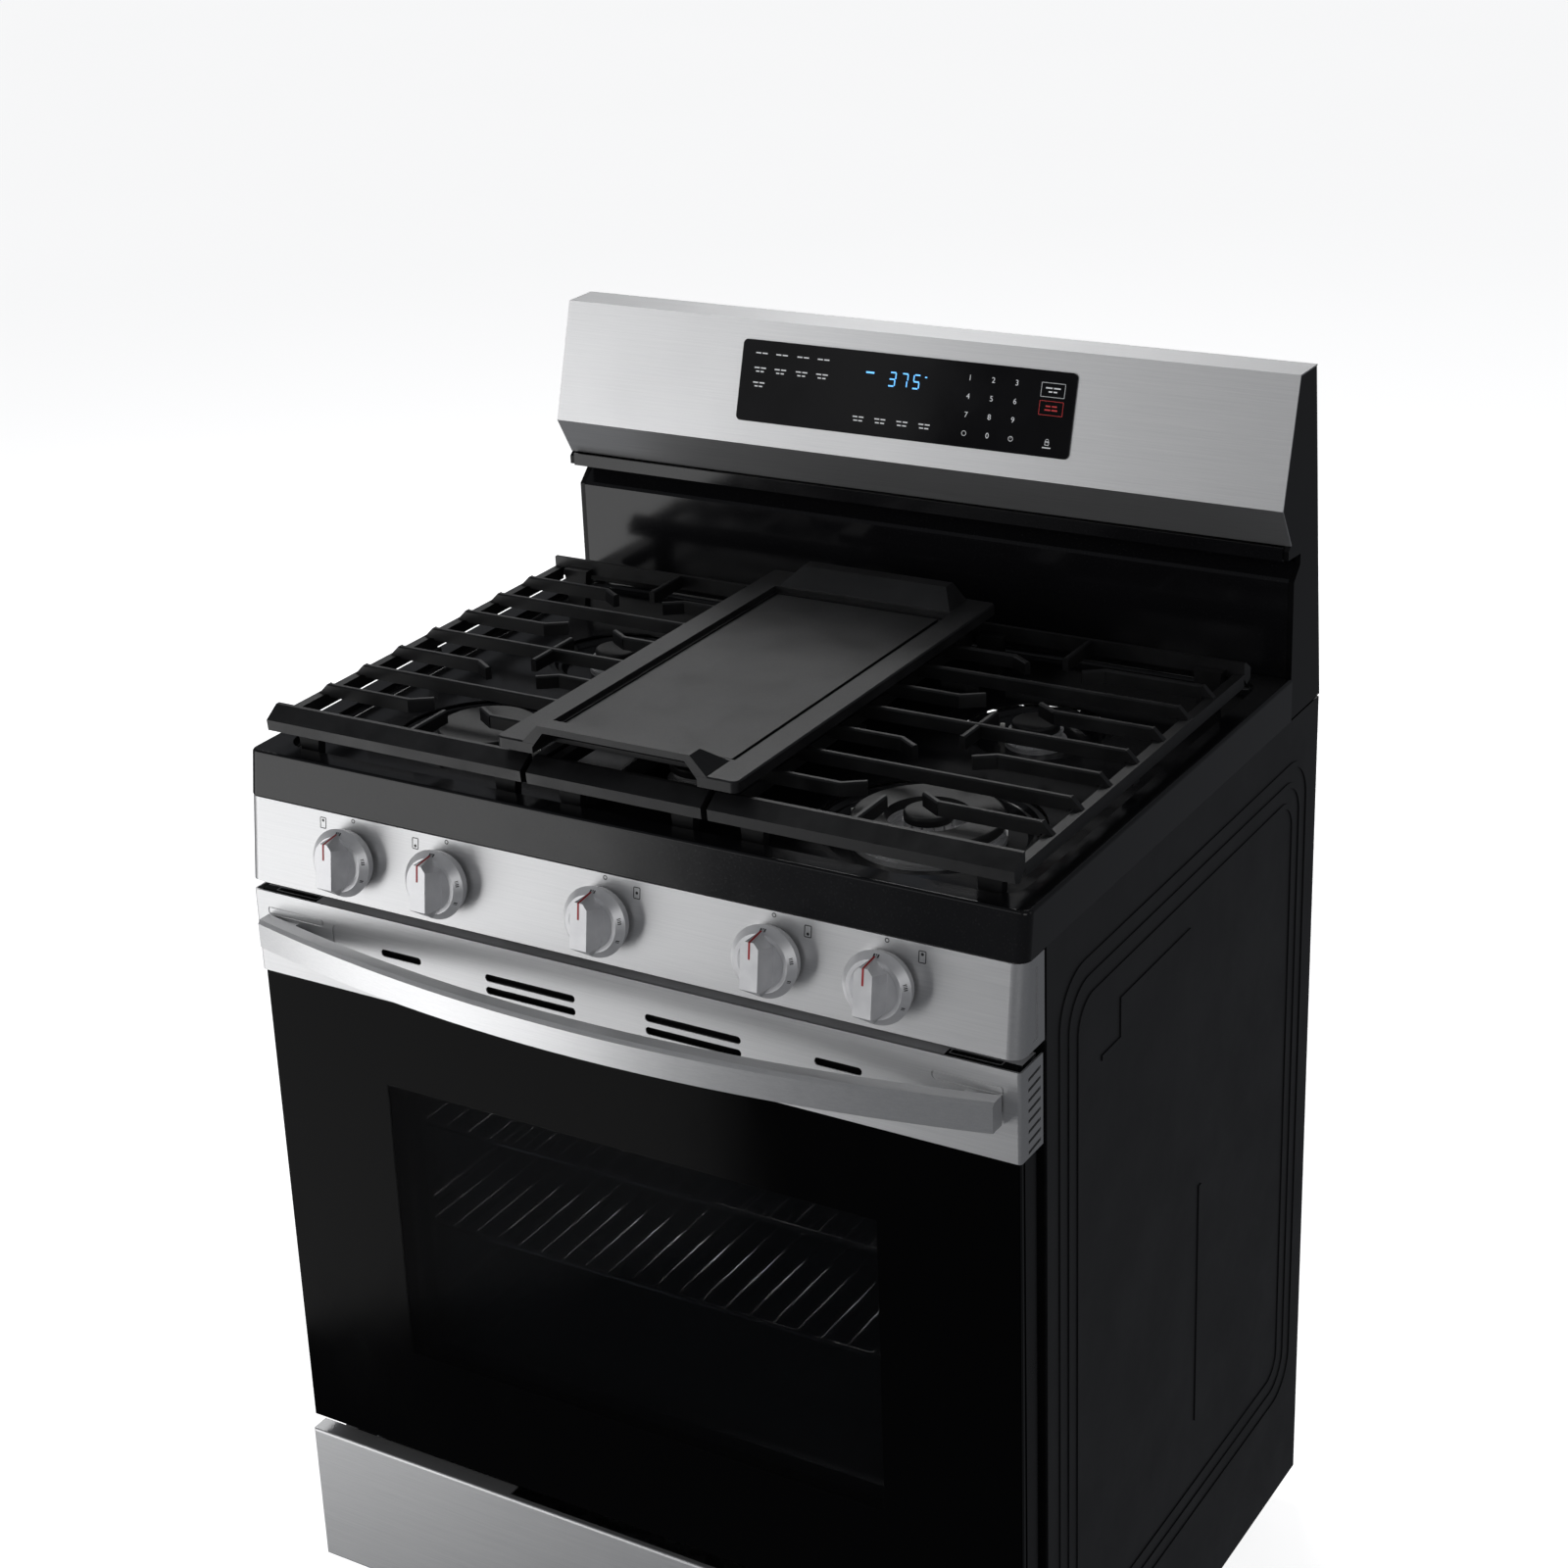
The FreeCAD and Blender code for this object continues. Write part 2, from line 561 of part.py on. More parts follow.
def gas_manifold():
    """Manifold pipe behind the control panel and the feed pipe from the regulator, with fittings."""
    pieces = [cyl((-285, MANIFOLD_Y, MANIFOLD_Z), (1, 0, 0), 9, 610)]
    pieces.append(cyl((331, MANIFOLD_Y, MANIFOLD_Z), (0, 1, 0), 9, 540))
    pieces.append(tube_z(331, 314, 225, MANIFOLD_Z, 9))
    pieces.append(cyl((220, 314, 225), (1, 0, 0), 9, 105))
    for y, z in ((MANIFOLD_Y, MANIFOLD_Z), (314, MANIFOLD_Z), (314, 225)):
        pieces.append(box(319, 343, y - 12, y + 12, z - 12, z + 12))
    return join(pieces)


def gas_regulator():
    """Pressure regulator with the half-inch inlet pipe, open end to the rear."""
    body = tube_z(INLET_X, 300, 212, 240, 24)
    dome = cone_z(INLET_X, 300, 240, 252, 24, 12)
    neck = cyl((208, 314, 225), (-1, 0, 0), 12, 12)
    elbow = tube_z(INLET_X, 300, INLET_Z, 213, 10.5)
    knee = Part.makeSphere(12.5, V(INLET_X, 300, INLET_Z))
    stub = cyl((INLET_X, 300, INLET_Z), (0, 1, 0), INLET_R, REAR_Y - 301)
    collar = cyl((INLET_X, 303, INLET_Z), (0, 1, 0), 13.5, 12)
    bore = cyl((INLET_X, 305, INLET_Z), (0, 1, 0), 7.5, 60)
    return join([body, dome, neck, elbow, knee, stub, collar]).cut(bore)


def burner_valves():
    """Brass valves on the manifold, one behind each knob."""
    valves = []
    for x in KNOB_X:
        start = on_panel(x, -8.0)
        back = (PANEL_N[0], -PANEL_N[1], -PANEL_N[2])
        body = cyl(start, back, 11, 32)
        bore = cyl(on_panel(x, -6.0), back, STEM_R + RUN_CLEAR, 24)
        seat = box(x - 9, x + 9, MANIFOLD_Y - 12, MANIFOLD_Y, MANIFOLD_Z - 9, MANIFOLD_Z + 9)
        outlet = tube_z(x, MANIFOLD_Y - 24, MANIFOLD_Z + 6, MANIFOLD_Z + 20, 5)
        body = join([body, seat, outlet])
        body = body.cut(bore)
        valves.append(body.cut(cyl((x - 20, MANIFOLD_Y, MANIFOLD_Z), (1, 0, 0), 9.02, 40)))
    return valves


def gas_tubes():
    """Aluminium tubes from each valve to its burner."""
    ends = ((-BURNER_X, REAR_BURNER_Y), (-BURNER_X, FRONT_BURNER_Y), (0.0, -24.0),
            DUAL_BURNER, (BURNER_X, REAR_BURNER_Y))
    tubes = []
    for k, x in enumerate(KNOB_X):
        z = 866.5
        tx, ty = ends[k]
        y0 = MANIFOLD_Y - 24
        pieces = [tube_z(x, y0, 862.2, z, 4), Part.makeSphere(4, V(x, y0, z))]
        run = V(tx - x, ty - 16 - y0, 0)
        pieces.append(Part.makeCylinder(4, run.Length, V(x, y0, z), run))
        pieces.append(Part.makeSphere(4, V(tx, ty - 16, z)))
        pieces.append(cyl((tx, ty - 16, z), (0, 1, 0), 4, 15))
        pieces.append(tube_z(tx, ty, 858, 870.9, 7))
        tubes.append(join(pieces))
    return tubes


def power_inlet():
    """Cord gland plate at the back, with an empty round gland."""
    plate = box(-238, -162, REAR_Y - 3.2, REAR_Y - 1.6, 124, 176)
    tunnel = box(-230, -170, REAR_Y - 40, REAR_Y - 2, 132, 168)
    body = join([plate, tunnel])
    gland = cyl((-200, REAR_Y - 45, 150), (0, 1, 0), 11, 60)
    return body.cut(gland)


# ---- control panel and knobs ----
def panel_block(inset, y_rear):
    half = WIDTH / 2 - inset
    z0 = PANEL_BOT_Z + inset
    z1 = PANEL_TOP_Z - inset
    profile = [(panel_y(z0) + inset, z0), (panel_y(z1) + inset, z1), (y_rear, z1), (y_rear, z0)]
    block = prism_x(profile, -half, half)
    corners = [e for e in block.Edges
               if abs(e.Vertexes[0].Z - e.Vertexes[1].Z) > 20 and e.BoundBox.YMax < -255]
    return block.makeFillet(12.0 - inset, corners)


def control_panel():
    """Folded stainless fascia with wrapped ends and stem holes."""
    shell = panel_block(0.0, PANEL_REAR_Y)
    shell = shell.cut(panel_block(SHEET, PANEL_REAR_Y + 5))
    cutters = [cyl(on_panel(x, -20), PANEL_N, 9, 30) for x in KNOB_X]
    for side in (-1, 1):
        x0, x1 = sorted((side * (WIDTH / 2 - 0.9), side * (WIDTH / 2 + 1)))
        cutters.append(box(x0, x1, -261, -253, 802, 864))
    return drill(shell, cutters)


def valve_stem(x):
    """Shaft with a flat, sliding in the valve and carrying the knob."""
    shaft = tube_z(0, 0, -22, 24, STEM_R)
    flat = box(-STEM_R, STEM_R, STEM_R - 1.0, STEM_R + 1, 14, 25)
    return knob_place(shaft.cut(flat), x)


def knob(x):
    """Bevelled skirt with a dished face and a faceted grip bar. Local Y is up on the panel."""
    skirt = join([cone_z(0, 0, 4.0, 14.0, KNOB_R - 3.0, KNOB_R),
                  cone_z(0, 0, 14.0, 20.0, KNOB_R, KNOB_R - 6.0)])
    skirt = skirt.cut(cone_z(0, 0, 17.5, 21.0, 18.5, 22.0))
    side_cut = [(-29, 6), (28, 6), (28, 17), (23.0, 38), (-17.5, 38), (-29, 17)]
    pts = [V(-11, v, w) for v, w in side_cut]
    bar = Part.Face(Part.makePolygon(pts + [pts[0]])).extrude(V(22, 0, 0))
    plan = [(-10.5, -17), (0.0, -29), (10.5, -17), (10.5, 15), (0.0, 28), (-10.5, 15)]
    bar = bar.common(prism_z(plan, 0, 40))
    ends = [(-10.5, 0), (10.5, 0), (10.5, 17), (8.0, 39), (-8.0, 39), (-10.5, 17)]
    pts = [V(u, -40, w) for u, w in ends]
    bar = bar.common(Part.Face(Part.makePolygon(pts + [pts[0]])).extrude(V(0, 80, 0)))
    body = join([skirt, bar])
    body = body.cut(tube_z(0, 0, 0, 26.0, STEM_R + RUN_CLEAR))
    return knob_place(body, x)


# ---- grates and griddle ----
# Each grate is built from straight convex members that meet face to face and do not overlap.
def bar_section(c, z1, h, w):
    """Bar profile with a chamfered top, centred on c."""
    e = w / 2
    k = BAR_CHAMFER
    return [(c - e, z1 - h), (c + e, z1 - h), (c + e, z1 - k), (c + e - k, z1), (c - e + k, z1), (c - e, z1 - k)]


def bar_x(x0, x1, y, z1=GRATE_Z, h=BAR_H, w=BAR_W):
    """Grate bar along X."""
    return prism_x(bar_section(y, z1, h, w), x0, x1)


def bar_y(y0, y1, x, z1=GRATE_Z, h=BAR_H, w=BAR_W):
    """Grate bar along Y."""
    return prism_y(bar_section(x, z1, h, w), y0, y1)


def bent_tip(x0, y0, x1, y1):
    """Bent end of a short finger, cut square where it leaves the finger at x0."""
    length = math.hypot(x1 - x0, y1 - y0)
    tip = bar_x(-5, length, 0)
    tip.rotate(V(0, 0, 0), V(0, 0, 1), math.degrees(math.atan2(y1 - y0, x1 - x0)))
    tip.translate(V(x0, y0, 0))
    far = x0 + (60 if x1 > x0 else -60)
    lo, hi = sorted((x0, far))
    return tip.common(box(lo, hi, y0 - 60, y0 + 60, GRATE_Z - 40, GRATE_Z + 10))


FRONT_BAR_REAR_Y = GRATE_FRONT_Y + 19
REAR_BAR_FRONT_Y = GRATE_REAR_Y - 15


def front_bar(x0, x1):
    y = GRATE_FRONT_Y
    return prism_x([(y + 19, 951), (y + 15, 951), (y, 941), (y + 1, 931), (y + 9, 928), (y + 19, 937)], x0, x1)


def rear_bar(x0, x1):
    y = GRATE_REAR_Y
    return prism_x([(y - 15, 951), (y - 11, 951), (y, 943), (y - 1, 933), (y - 9, 930), (y - 15, 937)], x0, x1)


def side_rail(x0, x1):
    """Lengthwise rail between the front and rear bars."""
    return box(x0, x1, FRONT_BAR_REAR_Y, REAR_BAR_FRONT_Y, RAIL_Z - 12, RAIL_Z)


def riser(x_in, x_out, y):
    """Sloping end of a bar, down onto its side rail."""
    w = BAR_W / 2
    s = 1 if x_out > x_in else -1
    return prism_y([(x_in, RAIL_Z), (x_in, GRATE_Z), (x_in + s, GRATE_Z), (x_out, RAIL_Z)], y - w, y + w)


def grate_foot(x0, x1, y0, y1):
    """Tapered foot standing against the end bar."""
    cx = (x0 + x1) / 2
    return prism_y([(x0, 943), (x1, 943), (cx + 9, FOOT_Z), (cx - 9, FOOT_Z)], y0, y1)


def grate_rows():
    return [ROW_Y0 + ROW_PITCH * k for k in range(7)]


def grate_surround(x0, x1):
    """End bars, side rails, risers and feet of one grate."""
    pieces = [front_bar(x0, x1), rear_bar(x0, x1), side_rail(x0, x0 + 9), side_rail(x1 - 9, x1)]
    for y in grate_rows():
        pieces.append(riser(x0 + 13, x0 + 2, y))
        pieces.append(riser(x1 - 13, x1 - 2, y))
    for y0 in (FRONT_BAR_REAR_Y, REAR_BAR_FRONT_Y - 10):
        pieces.append(grate_foot(x0 + 17, x0 + 43, y0, y0 + 10))
        pieces.append(grate_foot(x1 - 43, x1 - 17, y0, y0 + 10))
    return pieces


def side_grate():
    """Right side grate over two burners."""
    x0 = GRATE_X0
    x1 = GRATE_X1
    cx = BURNER_X - 1
    pieces = grate_surround(x0, x1)
    rows = grate_rows()
    for k, y in enumerate(rows):
        if k % 2 == 1:
            pieces.append(bar_x(x0 + 13, x1 - 13, y))
            continue
        lean = 12.0 if k in (0, 4) else -12.0
        for edge, s in ((x0 + 13, -1), (x1 - 13, 1)):
            root = cx + 44 * s
            pieces.append(bar_x(*sorted((edge, root)), y))
            pieces.append(bent_tip(root, y, cx + 26 * s, y + lean))
    half = BAR_W / 2
    pieces.append(bar_y(rows[3] - 31, rows[3] - half, cx))
    pieces.append(bar_y(rows[3] + half, rows[3] + 31, cx))
    pieces.append(bar_y(FRONT_BAR_REAR_Y, FRONT_BURNER_Y - 62, cx))
    pieces.append(bar_y(REAR_BURNER_Y + 62, REAR_BAR_FRONT_Y, cx))
    for x in (x0 + 9, x1 - 9):
        pieces.append(box(x - 5, x + 5, rows[3] - 6, rows[3] + 6, 922, RAIL_Z - 12))
    return pieces


def centre_grate():
    """Middle grate that carries the griddle over the oval burner."""
    x1 = 85.0
    pieces = grate_surround(-x1, x1)
    for k, y in enumerate(grate_rows()):
        if k % 2 == 1:
            pieces.append(bar_x(-x1 + 13, x1 - 13, y))
            continue
        pieces.append(bar_x(-x1 + 13, -34, y))
        pieces.append(bar_x(34, x1 - 13, y))
    pieces.append(bar_y(FRONT_BAR_REAR_Y, -160, 0))
    pieces.append(bar_y(112, REAR_BAR_FRONT_Y, 0))
    return pieces


GRIDDLE_X = 117.0
GRIDDLE_Y0 = -253.0
GRIDDLE_Y1 = 210.0
GRIDDLE_Z = 967.0


def griddle_hump(section, ends):
    """Raised block over the griddle: profile along X, with both ends sloped."""
    y_lo = min(y for y, z in section) - 5
    y_hi = max(y for y, z in section) + 5
    return prism_x(section, -95, 95).common(prism_y(ends, y_lo, y_hi))


def griddle():
    """Cast griddle plate: grease groove, raised rear lip, arched front lip open underneath, pads."""
    slab = box(-GRIDDLE_X, GRIDDLE_X, GRIDDLE_Y0, GRIDDLE_Y1, GRIDDLE_Z - 10, GRIDDLE_Z)
    corners = [e for e in slab.Edges if abs(e.Vertexes[0].Z - e.Vertexes[1].Z) > 5]
    slab = slab.makeFillet(6.0, corners)
    top = [e for e in slab.Edges if e.BoundBox.ZMin > GRIDDLE_Z - 0.1]
    slab = slab.makeChamfer(1.2, top)
    recess = box(-92, 92, GRIDDLE_Y0 + 40, GRIDDLE_Y1 - 42, GRIDDLE_Z - 5, GRIDDLE_Z + 5)
    groove = box(-89, 89, GRIDDLE_Y0 + 43, GRIDDLE_Y1 - 45, GRIDDLE_Z - 6.5, GRIDDLE_Z)
    plateau = box(-83, 83, GRIDDLE_Y0 + 49, GRIDDLE_Y1 - 51, GRIDDLE_Z - 8, GRIDDLE_Z - 4)
    slab = slab.cut(recess).cut(groove).fuse(plateau)
    z = GRIDDLE_Z - 1
    ends = [(-90, z), (-74, z + 17), (74, z + 17), (90, z)]
    y = GRIDDLE_Y1
    rear = griddle_hump([(y - 40, z), (y - 18, z + 16), (y - 4, z + 16), (y - 4, z)], ends)
    y = GRIDDLE_Y0
    front = griddle_hump([(y + 38, z), (y + 16, z + 17), (y, z + 17), (y, z)], ends)
    mouth = griddle_hump([(y + 30, z - 10), (y + 30, z - 5), (y + 14, z + 11), (y - 1, z + 11), (y - 1, z - 10)],
                         [(-80, z - 10), (-80, z - 3), (-69, z + 11), (69, z + 11), (80, z - 3), (80, z - 10)])
    pads = [box(px - 10, px + 10, py - 12, py + 12, GRATE_Z + 0.4, GRIDDLE_Z - 10)
            for px in (-60, 60) for py in (ROW_Y0 + ROW_PITCH, ROW_Y0 + 5 * ROW_PITCH)]
    return [join([slab, rear, front]).cut(mouth)] + pads


# ---- backguard ----
def backguard_panel():
    """Folded stainless panel: nose fold, sloping face and top return."""
    t = SHEET
    outer = [(BG_BOT_Y, BG_BOT_Z), (BG_FOLD_Y, BG_FOLD_Z), (BG_TOP_Y, TOP_Z), (BG_REAR_TOP_Y, TOP_Z)]
    inner = [(BG_REAR_TOP_Y, TOP_Z - t), (BG_TOP_Y + 1.0, TOP_Z - t), (BG_FOLD_Y + 1.4, BG_FOLD_Z - 0.2),
             (BG_BOT_Y + 1.2, BG_BOT_Z + 0.9)]
    half = BODY_WIDTH / 2 + 0.5
    sheet = prism_x(outer + inner, -half, half)
    window = round_slab(338, 69, 30, 3)
    window.translate(V(0, -15, 0))
    return sheet.cut(place_on_backguard(window, 0.0))


def place_on_backguard(shape, out):
    """Move a shape built round the origin onto the middle of the display position."""
    placed = shape.copy()
    placed.rotate(V(0, 0, 0), V(1, 0, 0), -math.degrees(BG_TILT))
    z = 1137.0
    y = BG_FOLD_Y + (z - BG_FOLD_Z) * math.tan(BG_TILT)
    placed.translate(V(0, y - out * math.cos(BG_TILT), z + out * math.sin(BG_TILT)))
    return placed


def display_glass():
    """Black glass pane with a stepped back that sits in the panel window."""
    face = round_slab(346, 77.4, 1.6, 5)
    face.translate(V(0, -1.65, 0))
    plug = round_slab(337, 68, 4, 3)
    plug.translate(V(0, -0.1, 0))
    return place_on_backguard(join([face, plug]), 0.0)


def control_board():
    board = round_slab(320, 62, 1.6, 2)
    board.translate(V(0, 14, 0))
    pieces = [board]
    for x, z, w, h, d in ((-120, 8, 40, 24, 14), (-60, -8, 30, 30, 10), (0, 10, 44, 22, 12), (70, -6, 26, 26, 16),
                          (125, 6, 34, 30, 12)):
        pieces.append(box(x - w / 2, x + w / 2, 15, 15 + d, z - h / 2, z + h / 2))
    for x in (-140, 140):
        pieces.append(cyl((x, 4.2, 22), (0, 1, 0), 3, 11))
    return place_on_backguard(join(pieces), 0.0)


def backguard_lower_panel():
    """Black panel behind the cooktop, with the vent recess and the ledge under the steel panel."""
    profile = [(270, 880), (270, 1003), (272, 1006), (286, 1018), (296, 1018), (296, 1028), (254, 1028),
               (254, 1040), (256, 1040), (256, 1030), (298, 1030), (298, 1016), (287, 1016), (272, 1001),
               (272, 880)]
    half = BODY_WIDTH / 2 - 5.2
    panel = prism_x(profile, -half, half)
    slots = [box(-330 + 44 * k, -300 + 44 * k, 290, 305, 1020, 1026) for k in range(15)]
    return drill(panel, slots)


def backguard_end_caps():
    """Black end plates closing both ends of the backguard."""
    profile = [(BG_BOT_Y + 1.6, BG_BOT_Z + 0.5), (BG_FOLD_Y + 2.0, BG_FOLD_Z), (BG_TOP_Y + 1.6, TOP_Z - 1.6),
               (BG_REAR_TOP_Y - 0.2, TOP_Z - 1.6), (REAR_Y - 0.2, BG_REAR_BASE_Z), (270, BG_REAR_BASE_Z),
               (270, 1004), (284, 1017), (284, 1027), (255, 1029), (255, 1037)]
    half = BODY_WIDTH / 2
    return pair(prism_x(profile, half - 5.0, half))


# ---- oven door ----
def band_slot(x, z, width, depth=30.0):
    slot = round_slab(width, 7.0, depth, 3.2)
    slot.translate(V(x, DOOR_FRONT_Y - 5, z))
    return slot


def door_top_trim():
    """Stainless band across the top of the door, wrapped round both ends."""
    half = WIDTH / 2 - 1.0
    outer = box(-half, half, DOOR_FRONT_Y, -242, BAND_Z0, DOOR_Z1)
    corners = [e for e in outer.Edges
               if abs(e.Vertexes[0].Z - e.Vertexes[1].Z) > 20 and e.BoundBox.YMax < -270]
    outer = outer.makeFillet(3.0, corners)
    inner = box(-half + 1.5, half - 1.5, DOOR_FRONT_Y + 2.0, -230, BAND_Z0 - 1, DOOR_Z1 + 1)
    band = outer.cut(inner)
    recess = round_slab(582, 50, 1.0, 8)
    recess.translate(V(0, DOOR_FRONT_Y - 0.1, 744))
    cutters = [recess]
    for side in (-1, 1):
        ring = round_slab(62, 8, 1.0, 3).cut(round_slab(59.6, 5.6, 3.0, 2))
        ring.translate(V(side * 332, DOOR_FRONT_Y - 0.1, 766))
        cutters.append(ring)
        cutters.append(band_slot(side * 217, 751, 43))
        cutters.append(band_slot(side * 81, 752, 92))
        cutters.append(band_slot(side * 81, 740, 92))
        for k in range(8):
            z = 709 + 9.1 * k
            slit = prism_x([(-268, z - 1.5), (-246, z + 0.6), (-246, z + 3.4), (-268, z + 1.3)],
                           *sorted((side * (half - 5), side * (half + 5))))
            cutters.append(slit)
    return drill(band, cutters)


def door_outer_glass():
    pane = box(-375, 375, GLASS_FRONT_Y, GLASS_FRONT_Y + 4, DOOR_Z0, BAND_Z0 - 0.3)
    edges = [e for e in pane.Edges if e.BoundBox.YMax < GLASS_FRONT_Y + 0.1]
    return pane.makeChamfer(0.8, edges)


def hinge_notches():
    return [box(*sorted((side * (HINGE_X - 12.5), side * (HINGE_X + 9.5))), -274.9, -230, DOOR_Z0 - 5,
                HINGE_Z + 12) for side in (-1, 1)]


def door_frame():
    """Black door carcass behind the glass: ring with stepped edges and top air slots."""
    y0 = GLASS_FRONT_Y + 4.1
    ring = box(-372, 372, y0, -243, DOOR_Z0 + 1, DOOR_Z1 - 1)
    grooves = [box(-380, 380, y0 + 9, y0 + 12, DOOR_Z0 - 5, DOOR_Z1 + 5).cut(
        box(-369, 369, y0 + 8, y0 + 13, DOOR_Z0 + 3, DOOR_Z1 - 3))]
    opening = box(-262, 262, y0 - 1, -242, 305, 632)
    hollow = box(-366, 366, y0 + 2, -244.5, DOOR_Z0 + 8, DOOR_Z1 - 4)
    posts = [box(x - 4, x + 4, y0, -243, 300, 640) for x in (-266, 266)]
    rails = [box(-270, 270, y0, -243, z - 4, z + 4) for z in (301, 636)]
    shell = ring.cut(hollow)
    shell = join([shell] + posts + rails)
    cutters = grooves + [opening]
    for side in (-1, 1):
        x0, x1 = sorted((side * 314, side * 356))
        cutters.append(box(x0, x1, -272, -268, DOOR_Z1 - 8, DOOR_Z1 + 2))
    for k in range(12):
        x = -275 + 50 * k
        cutters.append(box(x - 16, x + 16, -262, -254, DOOR_Z0 - 5, DOOR_Z0 + 12))
    return drill(shell, cutters + hinge_notches())


def door_inner_panel():
    """Enamelled rear skin of the door with the window opening."""
    sheet = box(-370, 370, -242.9, DOOR_REAR_Y, DOOR_Z0 + 2, DOOR_Z1 - 2)
    boss = round_slab(560, 392, 6, 18)
    boss.translate(V(0, -241.5, 476))
    cutters = [box(-240, 240, -250, -220, 330, 610)]
    return drill(join([sheet, boss]), cutters + hinge_notches())


def door_inner_glass():
    return box(-250, 250, -247.4, -243.1, 320, 620)


def door_hinge_arms():
    """Steel arms in the door foot with the pivot pins."""
    arm = box(HINGE_X - 16, HINGE_X - 10, -268, -250, DOOR_Z0 + 8.2, 330)
    pin = cyl((HINGE_X - 12, HINGE_Y, HINGE_Z), (1, 0, 0), STEM_R, 20)
    head = cyl((HINGE_X + 5, HINGE_Y, HINGE_Z), (1, 0, 0), 6, 3.5)
    return pair(join([arm, pin, head]))


def handle_front(x):
    """Y of the handle face along its bow."""
    return HANDLE_Y + 45.0 * (x / HANDLE_HALF) ** 2


def door_handle():
    """Bowed flat bar with a bevelled top edge, resting on the door at both ends."""
    steps = 24
    xs = [-HANDLE_HALF + 2 * HANDLE_HALF * k / steps for k in range(steps + 1)]
    front = [V(x, handle_front(x), 0) for x in xs]
    back = [V(x, handle_front(x) + 15.5, 0) for x in xs]
    curve_f = Part.BSplineCurve()
    curve_f.interpolate(front)
    curve_b = Part.BSplineCurve()
    curve_b.interpolate(back)
    edges = [curve_f.toShape(), Part.makeLine(front[-1], back[-1]), curve_b.toShape(),
             Part.makeLine(back[0], front[0])]
    face = Part.Face(Part.Wire(Part.__sortEdges__(edges)))
    bar = face.extrude(V(0, 0, HANDLE_Z1 - HANDLE_Z0))
    bar.translate(V(0, 0, HANDLE_Z0))
    top = [e for e in bar.Edges if e.BoundBox.XLength > 600 and e.BoundBox.ZMin > HANDLE_Z1 - 0.1
           and e.BoundBox.YMin < HANDLE_Y + 1]
    bar = bar.makeChamfer(3.0, top)
    feet = [box(*sorted((side * 330, side * 352)), -300, DOOR_FRONT_Y, HANDLE_Z0 + 4, HANDLE_Z1 - 4)
            for side in (-1, 1)]
    return join([bar] + feet)


# ---- drawer ----
def drawer_front():
    """Stainless drawer front folded over at its edges."""
    half = WIDTH / 2 - 1.0
    outer = box(-half, half, DOOR_FRONT_Y, -262, DRAWER_Z0, DRAWER_Z1)
    edges = [e for e in outer.Edges if e.BoundBox.YMax < DOOR_FRONT_Y + 0.1]
    outer = outer.makeFillet(2.5, edges)
    inner = box(-half + 1.5, half - 1.5, DOOR_FRONT_Y + 1.5, -255, DRAWER_Z0 + 1.5, DRAWER_Z1 - 1.5)
    shell = outer.cut(inner)
    grip = box(-150, 150, -275, -255, DRAWER_Z1 - 5, DRAWER_Z1 + 2)
    return shell.cut(grip)


def drawer_box():
    """Open steel tray with side runners and a front wall."""
    half = 328.0
    front = -262.0
    rear = 268.0
    z0 = 72.0
    z1 = 188.0
    tray = box(-half, half, front, rear, z0, z1)
    tray = tray.cut(box(-half + SHEET, half - SHEET, front + SHEET, rear - SHEET, z0 + SHEET, z1 + 5))
    face = box(-370, 370, front, front + SHEET, z0, 196)
    runners = []
    for side in (-1, 1):
        x0, x1 = sorted((side * (half - 0.5), side * 341.0))
        runners.append(box(x0, x1, -215, rear - 10, 121.4, 126))
    return join([tray, face] + runners)


# ---- oven racks ----
def oven_rack(z):
    """Wire rack with a frame, cross bars and fine rods."""
    half = 296.0
    y0 = -205.0
    y1 = 205.0
    r = 3.0
    pieces = []
    for side in (-1, 1):
        pieces.append(cyl((side * half, y0 - 3, z), (0, 1, 0), r, y1 - y0 + 6))
    for y in (y0, y1, 0.0):
        pieces.append(cyl((-half, y, z), (1, 0, 0), r - 0.3, 2 * half))
    count = 23
    for k in range(count):
        x = -half + 2 * half * (k + 1) / (count + 1)
        pieces.append(cyl((x, y0, z), (0, 1, 0), 1.6, y1 - y0))
    pieces.append(cyl((-half + 4, y1, z + 14), (1, 0, 0), r - 0.3, 2 * half - 8))
    for k in range(5):
        x = (-half + 12) + (2 * half - 24) * k / 4
        pieces.append(cyl((x, y1, z), (0, 0, 1), r - 0.6, 14))
    return join(pieces)


